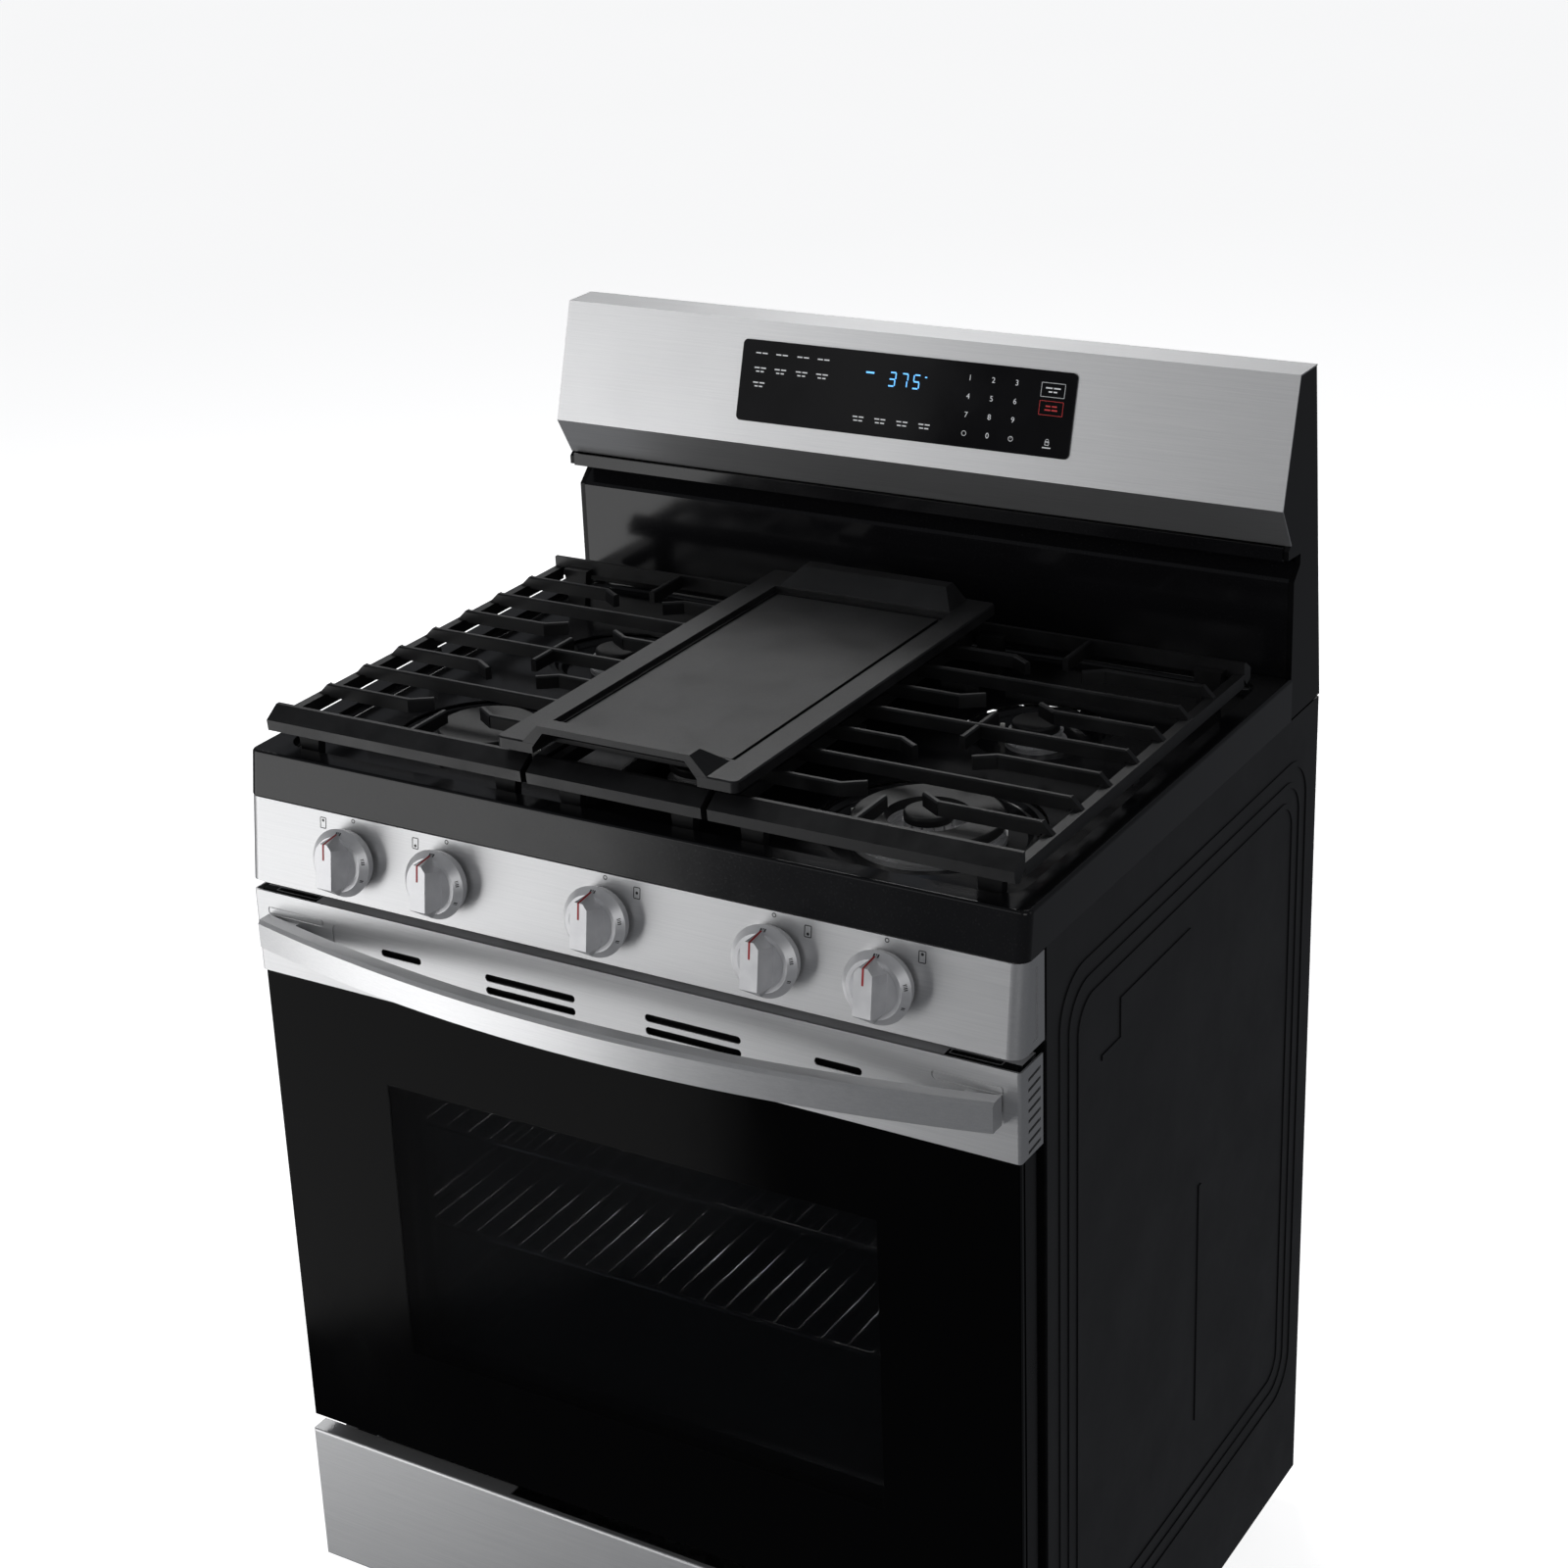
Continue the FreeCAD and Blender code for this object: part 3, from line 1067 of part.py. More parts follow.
def build():
    os.makedirs("parts", exist_ok=True)
    right = side_panel()
    save("right_side_panel", right)
    save("left_side_panel", mirror_x(right))
    save("rear_panel", rear_panel())
    save("base_frame", base_frame())
    save("levelling_feet", levelling_feet())
    save("front_frame", front_frame())
    save("oven_cavity", oven_cavity())
    save("oven_insulation", oven_insulation())
    save("bake_burner", bake_burner())
    save("broil_burner", broil_burner())
    save("convection_fan_cover", convection_fan_cover())
    save("convection_fan", convection_fan())
    save("convection_motor", convection_motor())
    save("oven_lamp", oven_lamp())
    save("door_gasket", door_gasket())
    save("cooktop", cooktop())
    save("burner_heads", burner_heads())
    save("igniters", igniters())
    for name, x, y, dish, cap, head in BURNERS:
        bore = 34.0 if name == "front_right" else 0.0
        save(name + "_burner_cap", round_cap(x, y, cap, CAP_UNDER, CAP_Z, bore))
    save("front_right_inner_cap", front_right_inner_cap())
    save("centre_burner_cap", centre_cap())
    save("gas_manifold", gas_manifold())
    save("gas_regulator", gas_regulator())
    save("burner_valves", burner_valves())
    save("gas_tubes", gas_tubes())
    save("power_inlet", power_inlet())
    save("control_panel", control_panel())
    for k, x in enumerate(KNOB_X):
        save("knob_%d" % (k + 1), knob(x))
        save("knob_stem_%d" % (k + 1), valve_stem(x))
    grate = side_grate()
    save("right_grate", grate)
    save("left_grate", [mirror_x(piece) for piece in grate])
    save("centre_grate", centre_grate())
    save("griddle", griddle())
    save("backguard_panel", backguard_panel())
    save("display_glass", display_glass())
    save("control_board", control_board())
    save("backguard_lower_panel", backguard_lower_panel())
    save("backguard_end_caps", backguard_end_caps())
    save("door_top_trim", door_top_trim())
    save("door_outer_glass", door_outer_glass())
    save("door_frame", door_frame())
    save("door_inner_panel", door_inner_panel())
    save("door_inner_glass", door_inner_glass())
    save("door_hinge_arms", door_hinge_arms())
    save("door_handle", door_handle())
    save("drawer_front", drawer_front())
    save("drawer_box", drawer_box())
    save("lower_rack", oven_rack(RACK_Z[0]))
    save("upper_rack", oven_rack(RACK_Z[1]))


build()
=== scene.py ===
import math
import bpy
import bmesh
from mathutils import Matrix, Vector


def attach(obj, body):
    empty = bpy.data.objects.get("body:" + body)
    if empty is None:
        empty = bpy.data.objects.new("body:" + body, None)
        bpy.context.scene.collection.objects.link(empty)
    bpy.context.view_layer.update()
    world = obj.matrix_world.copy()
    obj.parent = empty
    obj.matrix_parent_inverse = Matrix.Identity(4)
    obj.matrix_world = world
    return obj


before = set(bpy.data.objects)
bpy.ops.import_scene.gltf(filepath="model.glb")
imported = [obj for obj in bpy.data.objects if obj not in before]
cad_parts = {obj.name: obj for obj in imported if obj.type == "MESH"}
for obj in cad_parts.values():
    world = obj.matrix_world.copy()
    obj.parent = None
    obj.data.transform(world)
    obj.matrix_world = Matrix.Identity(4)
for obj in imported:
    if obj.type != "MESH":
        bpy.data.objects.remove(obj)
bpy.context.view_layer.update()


# ---------------------------------------------------------------- materials
class Nodes:
    """Small helper that builds one Principled material."""

    def __init__(self, name, base, metallic, roughness, **sockets):
        self.mat = bpy.data.materials.new(name)
        self.mat.use_nodes = True
        self.tree = self.mat.node_tree
        self.shader = self.tree.nodes["Principled BSDF"]
        self.set("Base Color", (*base, 1.0))
        self.set("Metallic", metallic)
        self.set("Roughness", roughness)
        for key, value in sockets.items():
            self.set(key.replace("_", " "), value)
        self.coord = self.add("ShaderNodeTexCoord").outputs["Object"]

    def set(self, socket, value):
        self.shader.inputs[socket].default_value = value

    def add(self, kind, **props):
        node = self.tree.nodes.new(kind)
        for key, value in props.items():
            setattr(node, key, value)
        return node

    def link(self, out, socket):
        self.tree.links.new(out, socket)

    def scaled(self, scale, rotation=(0, 0, 0)):
        node = self.add("ShaderNodeMapping")
        node.inputs["Scale"].default_value = scale
        node.inputs["Rotation"].default_value = rotation
        self.link(self.coord, node.inputs["Vector"])
        return node.outputs["Vector"]

    def noise(self, scale, detail=2.0, rough=0.5, vector=None):
        node = self.add("ShaderNodeTexNoise")
        node.inputs["Scale"].default_value = scale
        node.inputs["Detail"].default_value = detail
        node.inputs["Roughness"].default_value = rough
        self.link(vector or self.coord, node.inputs["Vector"])
        return node.outputs["Fac"]

    def cells(self, scale, output="Distance"):
        node = self.add("ShaderNodeTexVoronoi", feature="F1")
        node.inputs["Scale"].default_value = scale
        self.link(self.coord, node.inputs["Vector"])
        return node.outputs[output]

    def waves(self, scale, direction, vector, distortion):
        node = self.add("ShaderNodeTexWave", bands_direction=direction)
        node.inputs["Scale"].default_value = scale
        node.inputs["Distortion"].default_value = distortion
        self.link(vector, node.inputs["Vector"])
        return node.outputs["Fac"]

    def span(self, value, low, high, from_low=0.0, from_high=1.0):
        node = self.add("ShaderNodeMapRange")
        node.inputs["From Min"].default_value = from_low
        node.inputs["From Max"].default_value = from_high
        node.inputs["To Min"].default_value = low
        node.inputs["To Max"].default_value = high
        self.link(value, node.inputs["Value"])
        return node.outputs["Result"]

    def math(self, op, a, b):
        node = self.add("ShaderNodeMath", operation=op)
        for k, value in enumerate((a, b)):
            if isinstance(value, (int, float)):
                node.inputs[k].default_value = value
            else:
                self.link(value, node.inputs[k])
        return node.outputs[0]

    def mix(self, fac, a, b):
        node = self.add("ShaderNodeMix", data_type="RGBA")
        for socket, value in ((node.inputs[0], fac), (node.inputs[6], a), (node.inputs[7], b)):
            if isinstance(value, tuple):
                socket.default_value = (*value, 1.0)
            elif isinstance(value, (int, float)):
                socket.default_value = value
            else:
                self.link(value, socket)
        return node.outputs[2]

    def colour(self, out):
        self.link(out, self.shader.inputs["Base Color"])

    def rough(self, out):
        self.link(out, self.shader.inputs["Roughness"])

    def bump(self, height, distance, strength):
        node = self.add("ShaderNodeBump")
        node.inputs["Strength"].default_value = strength
        node.inputs["Distance"].default_value = distance
        self.link(height, node.inputs["Height"])
        last = self.shader.inputs["Normal"]
        if last.links:
            self.link(last.links[0].from_socket, node.inputs["Normal"])
        self.link(node.outputs["Normal"], last)


def brushed(name, tone, rough=(0.34, 0.42)):
    """Brushed steel: hair-fine scratches along X and soft smudges."""
    m = Nodes(name, (tone, tone, tone * 1.01), 0.8, 0.36)
    fine = m.noise(1.0, 3.0, 0.65, m.scaled((26.0, 2400.0, 2400.0)))
    lines = m.noise(1.0, 3.0, 0.6, m.scaled((9.0, 620.0, 620.0)))
    smudge = m.noise(4.0, 3.0, 0.6)
    both = m.math("ADD", m.math("MULTIPLY", fine, 0.55), m.math("MULTIPLY", lines, 0.45))
    low = (tone * 0.9, tone * 0.905, tone * 0.915)
    high = (tone * 1.06, tone * 1.06, tone * 1.065)
    m.colour(m.mix(m.span(both, 0.0, 1.0, 0.3, 0.7), low, high))
    m.rough(m.math("ADD", m.span(both, rough[0], rough[1], 0.3, 0.7), m.span(smudge, 0.0, 0.04, 0.35, 0.75)))
    m.bump(fine, 0.00001, 0.4)
    return m.mat


def porcelain(name):
    """Gloss black enamel: slight orange peel, faint dust and wipe marks."""
    m = Nodes(name, (0.005, 0.005, 0.006), 0.0, 0.18, Specular_IOR_Level=0.4)
    dust = m.noise(700.0, 2.0, 0.5)
    wipe = m.noise(1.0, 3.0, 0.6, m.scaled((9.0, 30.0, 9.0), (0.0, 0.0, 0.5)))
    m.colour(m.mix(m.span(dust, 0.0, 1.0, 0.62, 0.78), (0.007, 0.007, 0.008), (0.022, 0.022, 0.023)))
    m.rough(m.math("ADD", m.span(wipe, 0.11, 0.18, 0.3, 0.7), m.span(dust, 0.0, 0.05, 0.5, 0.8)))
    m.bump(m.noise(160.0, 2.0, 0.5), 0.00006, 0.12)
    return m.mat


def cast_iron(name, tone, rough):
    """Satin black enamelled iron: pebbled skin, greyer where it is rubbed."""
    m = Nodes(name, (tone, tone, tone), 0.0, 0.5, Specular_IOR_Level=0.42)
    grit = m.noise(900.0, 3.0, 0.65)
    patch = m.noise(22.0, 4.0, 0.6)
    dark = (tone * 0.75, tone * 0.75, tone * 0.8)
    light = (tone * 1.6, tone * 1.6, tone * 1.7)
    m.colour(m.mix(m.span(patch, 0.0, 1.0, 0.35, 0.7), dark, light))
    m.rough(m.math("ADD", m.span(patch, rough[0], rough[1], 0.3, 0.7), m.span(grit, -0.04, 0.06, 0.3, 0.7)))
    m.bump(grit, 0.00012, 0.5)
    m.bump(m.noise(120.0, 2.0, 0.5), 0.0002, 0.25)
    return m.mat


def painted(name, tone, rough=0.35, peel=0.00008, spec=0.4):
    """Sprayed enamel on sheet steel with an orange-peel skin."""
    m = Nodes(name, tone, 0.0, rough, Specular_IOR_Level=spec)
    patch = m.noise(14.0, 3.0, 0.6)
    fleck = m.noise(1200.0, 1.0, 0.5)
    a = tuple(c * 0.85 for c in tone)
    b = tuple(c * 1.2 + 0.002 for c in tone)
    m.colour(m.mix(m.span(patch, 0.0, 1.0, 0.3, 0.7), a, b))
    m.rough(m.math("ADD", m.span(patch, rough - 0.05, rough + 0.06, 0.3, 0.7), m.span(fleck, -0.03, 0.03)))
    m.bump(m.noise(420.0, 2.0, 0.5), peel, 0.5)
    return m.mat


def speckled(name):
    """Oven enamel: blue-black glaze with fine white specks."""
    m = Nodes(name, (0.03, 0.032, 0.04), 0.0, 0.25, Specular_IOR_Level=0.4)
    speck = m.cells(420.0)
    patch = m.noise(8.0, 3.0, 0.6)
    ground = m.mix(m.span(patch, 0.0, 1.0, 0.3, 0.7), (0.016, 0.017, 0.022), (0.034, 0.036, 0.045))
    m.colour(m.mix(m.span(speck, 1.0, 0.0, 0.1, 0.22), ground, (0.32, 0.33, 0.36)))
    m.rough(m.span(patch, 0.2, 0.36, 0.3, 0.7))
    m.bump(m.noise(300.0, 2.0, 0.5), 0.00008, 0.4)
    return m.mat


def galvanised(name):
    """Zinc coated sheet with its crystal spangle."""
    m = Nodes(name, (0.5, 0.51, 0.52), 0.85, 0.42)
    spangle = m.cells(75.0, output="Color")
    grey = m.add("ShaderNodeSeparateColor")
    m.link(spangle, grey.inputs[0])
    film = m.noise(9.0, 4.0, 0.6)
    tone = m.math("ADD", m.math("MULTIPLY", grey.outputs[0], 0.5), m.math("MULTIPLY", film, 0.5))
    m.colour(m.mix(m.span(tone, 0.0, 1.0, 0.2, 0.8), (0.34, 0.35, 0.36), (0.6, 0.61, 0.62)))
    m.rough(m.span(grey.outputs[0], 0.32, 0.52))
    m.bump(film, 0.0001, 0.3)
    return m.mat


def alloy(name, tone, rough, stain, metallic=1.0):
    """Bare metal with tool marks; stain is how far heat has browned it, from 0 to 1."""
    m = Nodes(name, (tone, tone, tone), metallic, 0.35)
    rings = m.noise(1.0, 2.0, 0.5, m.scaled((60.0, 60.0, 2600.0)))
    burn = m.noise(26.0, 4.0, 0.65)
    clean = (tone, tone, tone * 1.01)
    brown = (tone * 0.72, tone * 0.66, tone * 0.58)
    m.colour(m.mix(m.span(burn, 0.0, stain, 0.45, 0.75), clean, brown))
    m.rough(m.span(rings, rough[0], rough[1], 0.3, 0.7))
    m.bump(rings, 0.00003, 0.4)
    m.bump(m.noise(700.0, 2.0, 0.6), 0.00004, 0.4)
    return m.mat


def satin_silver(name):
    """Knob finish: bead-blasted silver with a fine grain."""
    m = Nodes(name, (0.8, 0.8, 0.81), 0.45, 0.36)
    grain = m.noise(2400.0, 2.0, 0.6)
    cloud = m.noise(60.0, 3.0, 0.5)
    m.colour(m.mix(m.span(cloud, 0.0, 1.0, 0.3, 0.7), (0.76, 0.76, 0.775), (0.88, 0.88, 0.89)))
    m.rough(m.math("ADD", m.span(cloud, 0.32, 0.4, 0.3, 0.7), m.span(grain, -0.03, 0.04)))
    m.bump(grain, 0.00002, 0.4)
    return m.mat


def fibre(name, tone, scale):
    """Woven or felted fibre."""
    m = Nodes(name, tone, 0.0, 0.9, Sheen_Weight=0.2)
    warp = m.waves(scale, "X", m.scaled((1, 1, 1), (0, 0, 0.78)), 2.0)
    weft = m.waves(scale, "Z", m.scaled((1, 1, 1), (0.6, 0, 0)), 2.0)
    cross = m.math("MAXIMUM", warp, weft)
    dark = tuple(c * 0.55 for c in tone)
    m.colour(m.mix(cross, dark, tone))
    m.rough(m.span(m.noise(40.0), 0.8, 0.98))
    m.bump(cross, 0.0008, 0.8)
    return m.mat


def plastic(name, tone, rough=0.45):
    """Moulded plastic, board or ceramic with a fine grain."""
    m = Nodes(name, tone, 0.0, rough)
    grain = m.noise(1500.0, 2.0, 0.6)
    cloud = m.noise(30.0, 2.0, 0.5)
    dark = tuple(c * 0.85 for c in tone)
    light = tuple(c * 1.2 for c in tone)
    m.colour(m.mix(m.span(cloud, 0.0, 1.0, 0.3, 0.7), dark, light))
    m.rough(m.span(grain, rough - 0.08, rough + 0.1))
    m.bump(grain, 0.00006, 0.5)
    return m.mat


def in_range(m, value, low, high, soft):
    """1 inside a range, 0 outside, with a soft edge."""
    up = m.span(value, 0.0, 1.0, low - soft, low + soft)
    down = m.span(value, 1.0, 0.0, high - soft, high + soft)
    return m.math("MULTIPLY", up, down)


def door_glass(name, window):
    """Black printed glass with a clear tinted window; window is (half width, z0, z1)."""
    m = Nodes(name, (0.002, 0.002, 0.0022), 0.0, 0.04, Specular_IOR_Level=0.03)
    xyz = m.add("ShaderNodeSeparateXYZ")
    m.link(m.coord, xyz.inputs[0])
    half, z0, z1 = window
    inside = m.math("MULTIPLY", in_range(m, xyz.outputs[0], -half, half, 0.0008),
                    in_range(m, xyz.outputs[2], z0, z1, 0.0008))
    film = m.noise(1.0, 3.0, 0.6, m.scaled((16.0, 16.0, 6.0)))
    m.colour(m.mix(inside, (0.002, 0.002, 0.0022), (0.008, 0.008, 0.0085)))
    m.rough(m.span(film, 0.05, 0.12, 0.3, 0.7))
    see = m.add("ShaderNodeBsdfTransparent")
    see.inputs["Color"].default_value = (0.42, 0.43, 0.45, 1.0)
    blend = m.add("ShaderNodeMixShader")
    m.link(m.math("MULTIPLY", inside, 0.72), blend.inputs[0])
    m.link(m.shader.outputs[0], blend.inputs[1])
    m.link(see.outputs[0], blend.inputs[2])
    out = next(n for n in m.tree.nodes if n.type == "OUTPUT_MATERIAL")
    m.link(blend.outputs[0], out.inputs["Surface"])
    return m.mat


def clear_glass(name, tint, opacity):
    """Thin see-through glass with a faint greasy film."""
    m = Nodes(name, tint, 0.0, 0.05, Alpha=opacity, Specular_IOR_Level=0.4)
    film = m.noise(12.0, 3.0, 0.6)
    m.rough(m.span(film, 0.03, 0.12, 0.3, 0.7))
    m.bump(m.noise(6.0), 0.0002, 0.2)
    return m.mat


def black_glass(name):
    """Glossy black glass of the display."""
    m = Nodes(name, (0.004, 0.004, 0.005), 0.0, 0.06, Specular_IOR_Level=0.05)
    film = m.noise(18.0, 4.0, 0.6)
    m.colour(m.mix(m.span(film, 0.0, 1.0, 0.3, 0.8), (0.004, 0.004, 0.005), (0.009, 0.009, 0.011)))
    m.rough(m.span(film, 0.04, 0.12, 0.3, 0.7))
    return m.mat


def ink(name, tone, glow=0.0):
    """Printed mark; glow adds emission, for lit segments and as a painted glow on printed marks."""
    m = Nodes(name, tone, 0.0, 0.4)
    grain = m.noise(3000.0, 1.0, 0.5)
    m.colour(m.mix(m.span(grain, 0.0, 1.0, 0.3, 0.7), tuple(c * 0.88 for c in tone), tone))
    m.rough(m.span(grain, 0.3, 0.5))
    if glow:
        m.set("Emission Color", (*tone, 1.0))
        m.set("Emission Strength", glow)
    return m.mat


STEEL = brushed("stainless_brushed", 0.66)
HANDLE_STEEL = brushed("stainless_handle", 0.72, (0.3, 0.38))
PORCELAIN = porcelain("black_porcelain")
IRON = cast_iron("cast_iron_satin", 0.008, (0.3, 0.44))
CAP_IRON = cast_iron("cast_iron_cap", 0.008, (0.4, 0.55))
GRIDDLE_IRON = cast_iron("griddle_iron", 0.012, (0.34, 0.46))
SIDE_PAINT = painted("side_enamel", (0.012, 0.012, 0.013), 0.42)
TRIM_PAINT = painted("black_trim_paint", (0.005, 0.005, 0.0055), 0.22, 0.00005, 0.15)
# door top: dark grey paint lifted to a mid grey, painted light where the lamps only graze it
DOOR_TOP_GREY_AND_PAINTED_LIGHT = painted("door_top_grey_painted_light", (0.42, 0.42, 0.43), 0.4)
ENAMEL = speckled("oven_enamel")
ZINC = galvanised("zinc_sheet")
ALLOY = alloy("burner_alloy", 0.72, (0.2, 0.34), 0.18, metallic=0.35)
PLAIN_STEEL = alloy("plain_steel", 0.5, (0.3, 0.45), 0.3)
TUBE = alloy("tube_alloy", 0.66, (0.25, 0.35), 0.1)
CHROME = alloy("rack_wire", 0.75, (0.08, 0.2), 0.15)
SILVER = satin_silver("knob_silver")
BRASS = alloy("valve_brass", 0.6, (0.25, 0.4), 0.2)
DOOR_GLASS = door_glass("door_black_glass", (0.247, 0.335, 0.617))
CLEAR_GLASS = clear_glass("inner_door_glass", (0.55, 0.6, 0.6), 0.18)
LAMP_GLASS = clear_glass("lamp_frosted", (0.9, 0.87, 0.75), 0.75)
DISPLAY = black_glass("display_black_glass")
FELT = fibre("mineral_fibre", (0.5, 0.46, 0.34), 300.0)
GASKET = fibre("gasket_weave", (0.16, 0.16, 0.16), 900.0)
BLACK_PLASTIC = plastic("black_plastic", (0.02, 0.02, 0.02))
BOARD = plastic("circuit_board", (0.03, 0.2, 0.09), 0.35)
CERAMIC = plastic("igniter_ceramic", (0.8, 0.79, 0.74), 0.35)
# white print with a painted glow: emission on ink that is no lamp
WHITE_INK_PAINTED_GLOW = ink("white_ink_painted_glow", (0.75, 0.76, 0.78), 0.3)
DARK_INK = ink("dark_ink", (0.02, 0.02, 0.022))
RED_INK = ink("red_ink", (0.5, 0.012, 0.02))
# red print with a painted glow: emission on ink that is no lamp
RED_PRINT_PAINTED_GLOW = ink("red_print_painted_glow", (0.62, 0.03, 0.03), 0.3)
BLUE_LIGHT = ink("blue_segments", (0.12, 0.42, 0.9), 1.6)

KNOB_NUMBERS = range(1, 6)

NODE_MATERIAL = {
    "right_side_panel": SIDE_PAINT, "left_side_panel": SIDE_PAINT, "rear_panel": ZINC, "base_frame": ZINC,
    "levelling_feet": BLACK_PLASTIC, "front_frame": TRIM_PAINT, "oven_cavity": ENAMEL,
    "oven_insulation": FELT, "bake_burner": PLAIN_STEEL, "broil_burner": PLAIN_STEEL,
    "convection_fan_cover": ENAMEL,
    "convection_fan": PLAIN_STEEL, "convection_motor": PLAIN_STEEL, "oven_lamp": LAMP_GLASS,
    "door_gasket": GASKET, "cooktop": PORCELAIN, "burner_heads": ALLOY, "igniters": CERAMIC,
    "front_left_burner_cap": CAP_IRON, "rear_left_burner_cap": CAP_IRON, "front_right_burner_cap": CAP_IRON,
    "rear_right_burner_cap": CAP_IRON, "front_right_inner_cap": CAP_IRON, "centre_burner_cap": CAP_IRON,
    "gas_manifold": PLAIN_STEEL, "gas_regulator": BRASS, "burner_valves": BRASS, "gas_tubes": TUBE,
    "power_inlet": BLACK_PLASTIC, "control_panel": STEEL, "right_grate": IRON, "left_grate": IRON,
    "centre_grate": IRON, "griddle": GRIDDLE_IRON, "backguard_panel": STEEL, "display_glass": DISPLAY,
    "control_board": BOARD, "backguard_lower_panel": PORCELAIN, "backguard_end_caps": TRIM_PAINT,
    "door_top_trim": STEEL, "door_outer_glass": DOOR_GLASS, "door_frame": TRIM_PAINT,
    "door_inner_panel": ENAMEL, "door_inner_glass": CLEAR_GLASS, "door_hinge_arms": PLAIN_STEEL,
    "door_handle": HANDLE_STEEL, "drawer_front": STEEL, "drawer_box": ZINC, "lower_rack": CHROME,
    "upper_rack": CHROME,
}
for k in KNOB_NUMBERS:
    NODE_MATERIAL["knob_%d" % k] = SILVER
    NODE_MATERIAL["knob_stem_%d" % k] = PLAIN_STEEL

for node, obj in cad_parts.items():
    for slot in obj.material_slots:
        slot.link = "OBJECT"
        slot.material = NODE_MATERIAL[node]


SOFTENED_ANGLE = math.radians(35.0)


def soften(node, width):
    """Small rounded edges on a CAD node, so that its corners catch light."""
    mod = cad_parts[node].modifiers.new("edge", "BEVEL")
    mod.width = width
    mod.segments = 2
    mod.limit_method = "ANGLE"
    mod.angle_limit = SOFTENED_ANGLE
    mod.harden_normals = False


# ---------------------------------------------------------------- printed marks
MARK_LIFT = 0.00006
ARC_STEPS = 5
CIRCLE_STEPS = 24
ACROSS = Vector((1, 0, 0))


class Marks:
    """Flat marks laid on a plane that runs along X and v, lifted a hair off the surface."""

    def __init__(self, origin, v):
        self.origin = Vector(origin)
        self.v = Vector(v).normalized()
        self.n = ACROSS.cross(self.v)
        self.bm = bmesh.new()

    def point(self, a, b):
        return self.origin + ACROSS * a + self.v * b + self.n * MARK_LIFT

    def polygon(self, points):
        self.bm.faces.new([self.bm.verts.new(self.point(a, b)) for a, b in points])

    def rect(self, a, b, width, height):
        """Centred rectangle."""
        w = width / 2
        h = height / 2
        self.polygon([(a - w, b - h), (a + w, b - h), (a + w, b + h), (a - w, b + h)])

    def loop(self, outline, inner):
        """Band between two closed outlines with the same number of points."""
        outer = [self.bm.verts.new(self.point(*p)) for p in outline]
        hole = [self.bm.verts.new(self.point(*p)) for p in inner]
        count = len(outer)
        for k in range(count):
            n = (k + 1) % count
            self.bm.faces.new([outer[k], outer[n], hole[n], hole[k]])

    def frame(self, a, b, width, height, line, radius):
        """Outlined rounded rectangle."""
        self.loop(rounded(a, b, width, height, radius),
                  rounded(a, b, width - 2 * line, height - 2 * line, max(radius - line, 0.00005)))

    def ring(self, a, b, r, line):
        """Circle drawn with a line of the given width."""
        self.loop(circle(a, b, r), circle(a, b, r - line))

    def disc(self, a, b, r):
        self.polygon(circle(a, b, r))

    def text(self, body, a, b, size):
        """Centred characters in the built-in font."""
        curve = bpy.data.curves.new("glyph", "FONT")
        curve.body = body
        curve.size = size
        curve.align_x = "CENTER"
        curve.align_y = "CENTER"
        holder = bpy.data.objects.new("glyph", curve)
        bpy.context.scene.collection.objects.link(holder)
        mesh = bpy.data.meshes.new_from_object(holder)
        verts = [self.bm.verts.new(self.point(a + p.co.x, b + p.co.y)) for p in mesh.vertices]
        for face in mesh.polygons:
            self.bm.faces.new([verts[i] for i in face.vertices])
        bpy.data.objects.remove(holder)
        bpy.data.curves.remove(curve)
        bpy.data.meshes.remove(mesh)

    def done(self, name, material, body):
        """Turns the marks laid so far into one piece."""
        mesh = bpy.data.meshes.new(name)
        self.bm.to_mesh(mesh)
        self.bm.free()
        place(name, mesh, material, body)


def rounded(a, b, width, height, radius):
    """Closed outline of a rectangle with rounded corners."""
    points = []
    for cx, cy, start in ((1, 1, 0), (-1, 1, 90), (-1, -1, 180), (1, -1, 270)):
        ox = a + cx * (width / 2 - radius)
        oy = b + cy * (height / 2 - radius)
        for k in range(ARC_STEPS + 1):
            t = math.radians(start + 90.0 * k / ARC_STEPS)
            points.append((ox + radius * math.cos(t), oy + radius * math.sin(t)))
    return points


def circle(a, b, r):
    """Closed outline of a circle."""
    turns = [2 * math.pi * k / CIRCLE_STEPS for k in range(CIRCLE_STEPS)]
    return [(a + r * math.cos(t), b + r * math.sin(t)) for t in turns]


def place(name, mesh, material, body):
    """Adds a mesh as a piece that moves with a body and keeps to one material slot."""
    obj = bpy.data.objects.new(name, mesh)
    bpy.context.scene.collection.objects.link(obj)
    mesh.materials.append(material)
    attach(obj, body)


# control panel: its sloping face between two edges, the knob axes and the marks above them
PANEL_LOW = Vector((0, -0.284, 0.7955))
PANEL_HIGH = Vector((0, -0.274, 0.8728))
PANEL_V = (PANEL_HIGH - PANEL_LOW).normalized()
PANEL_N = ACROSS.cross(PANEL_V)
KNOB_Z = 0.835
KNOB_X = (-0.264, -0.164, -0.001, 0.160, 0.261)
MARK_X = (-0.261, -0.161, 0.0, 0.160, 0.261)
MARK_LINE = 0.0008

INDEX_UP = 0.0348
INDEX_RADIUS = 0.0020

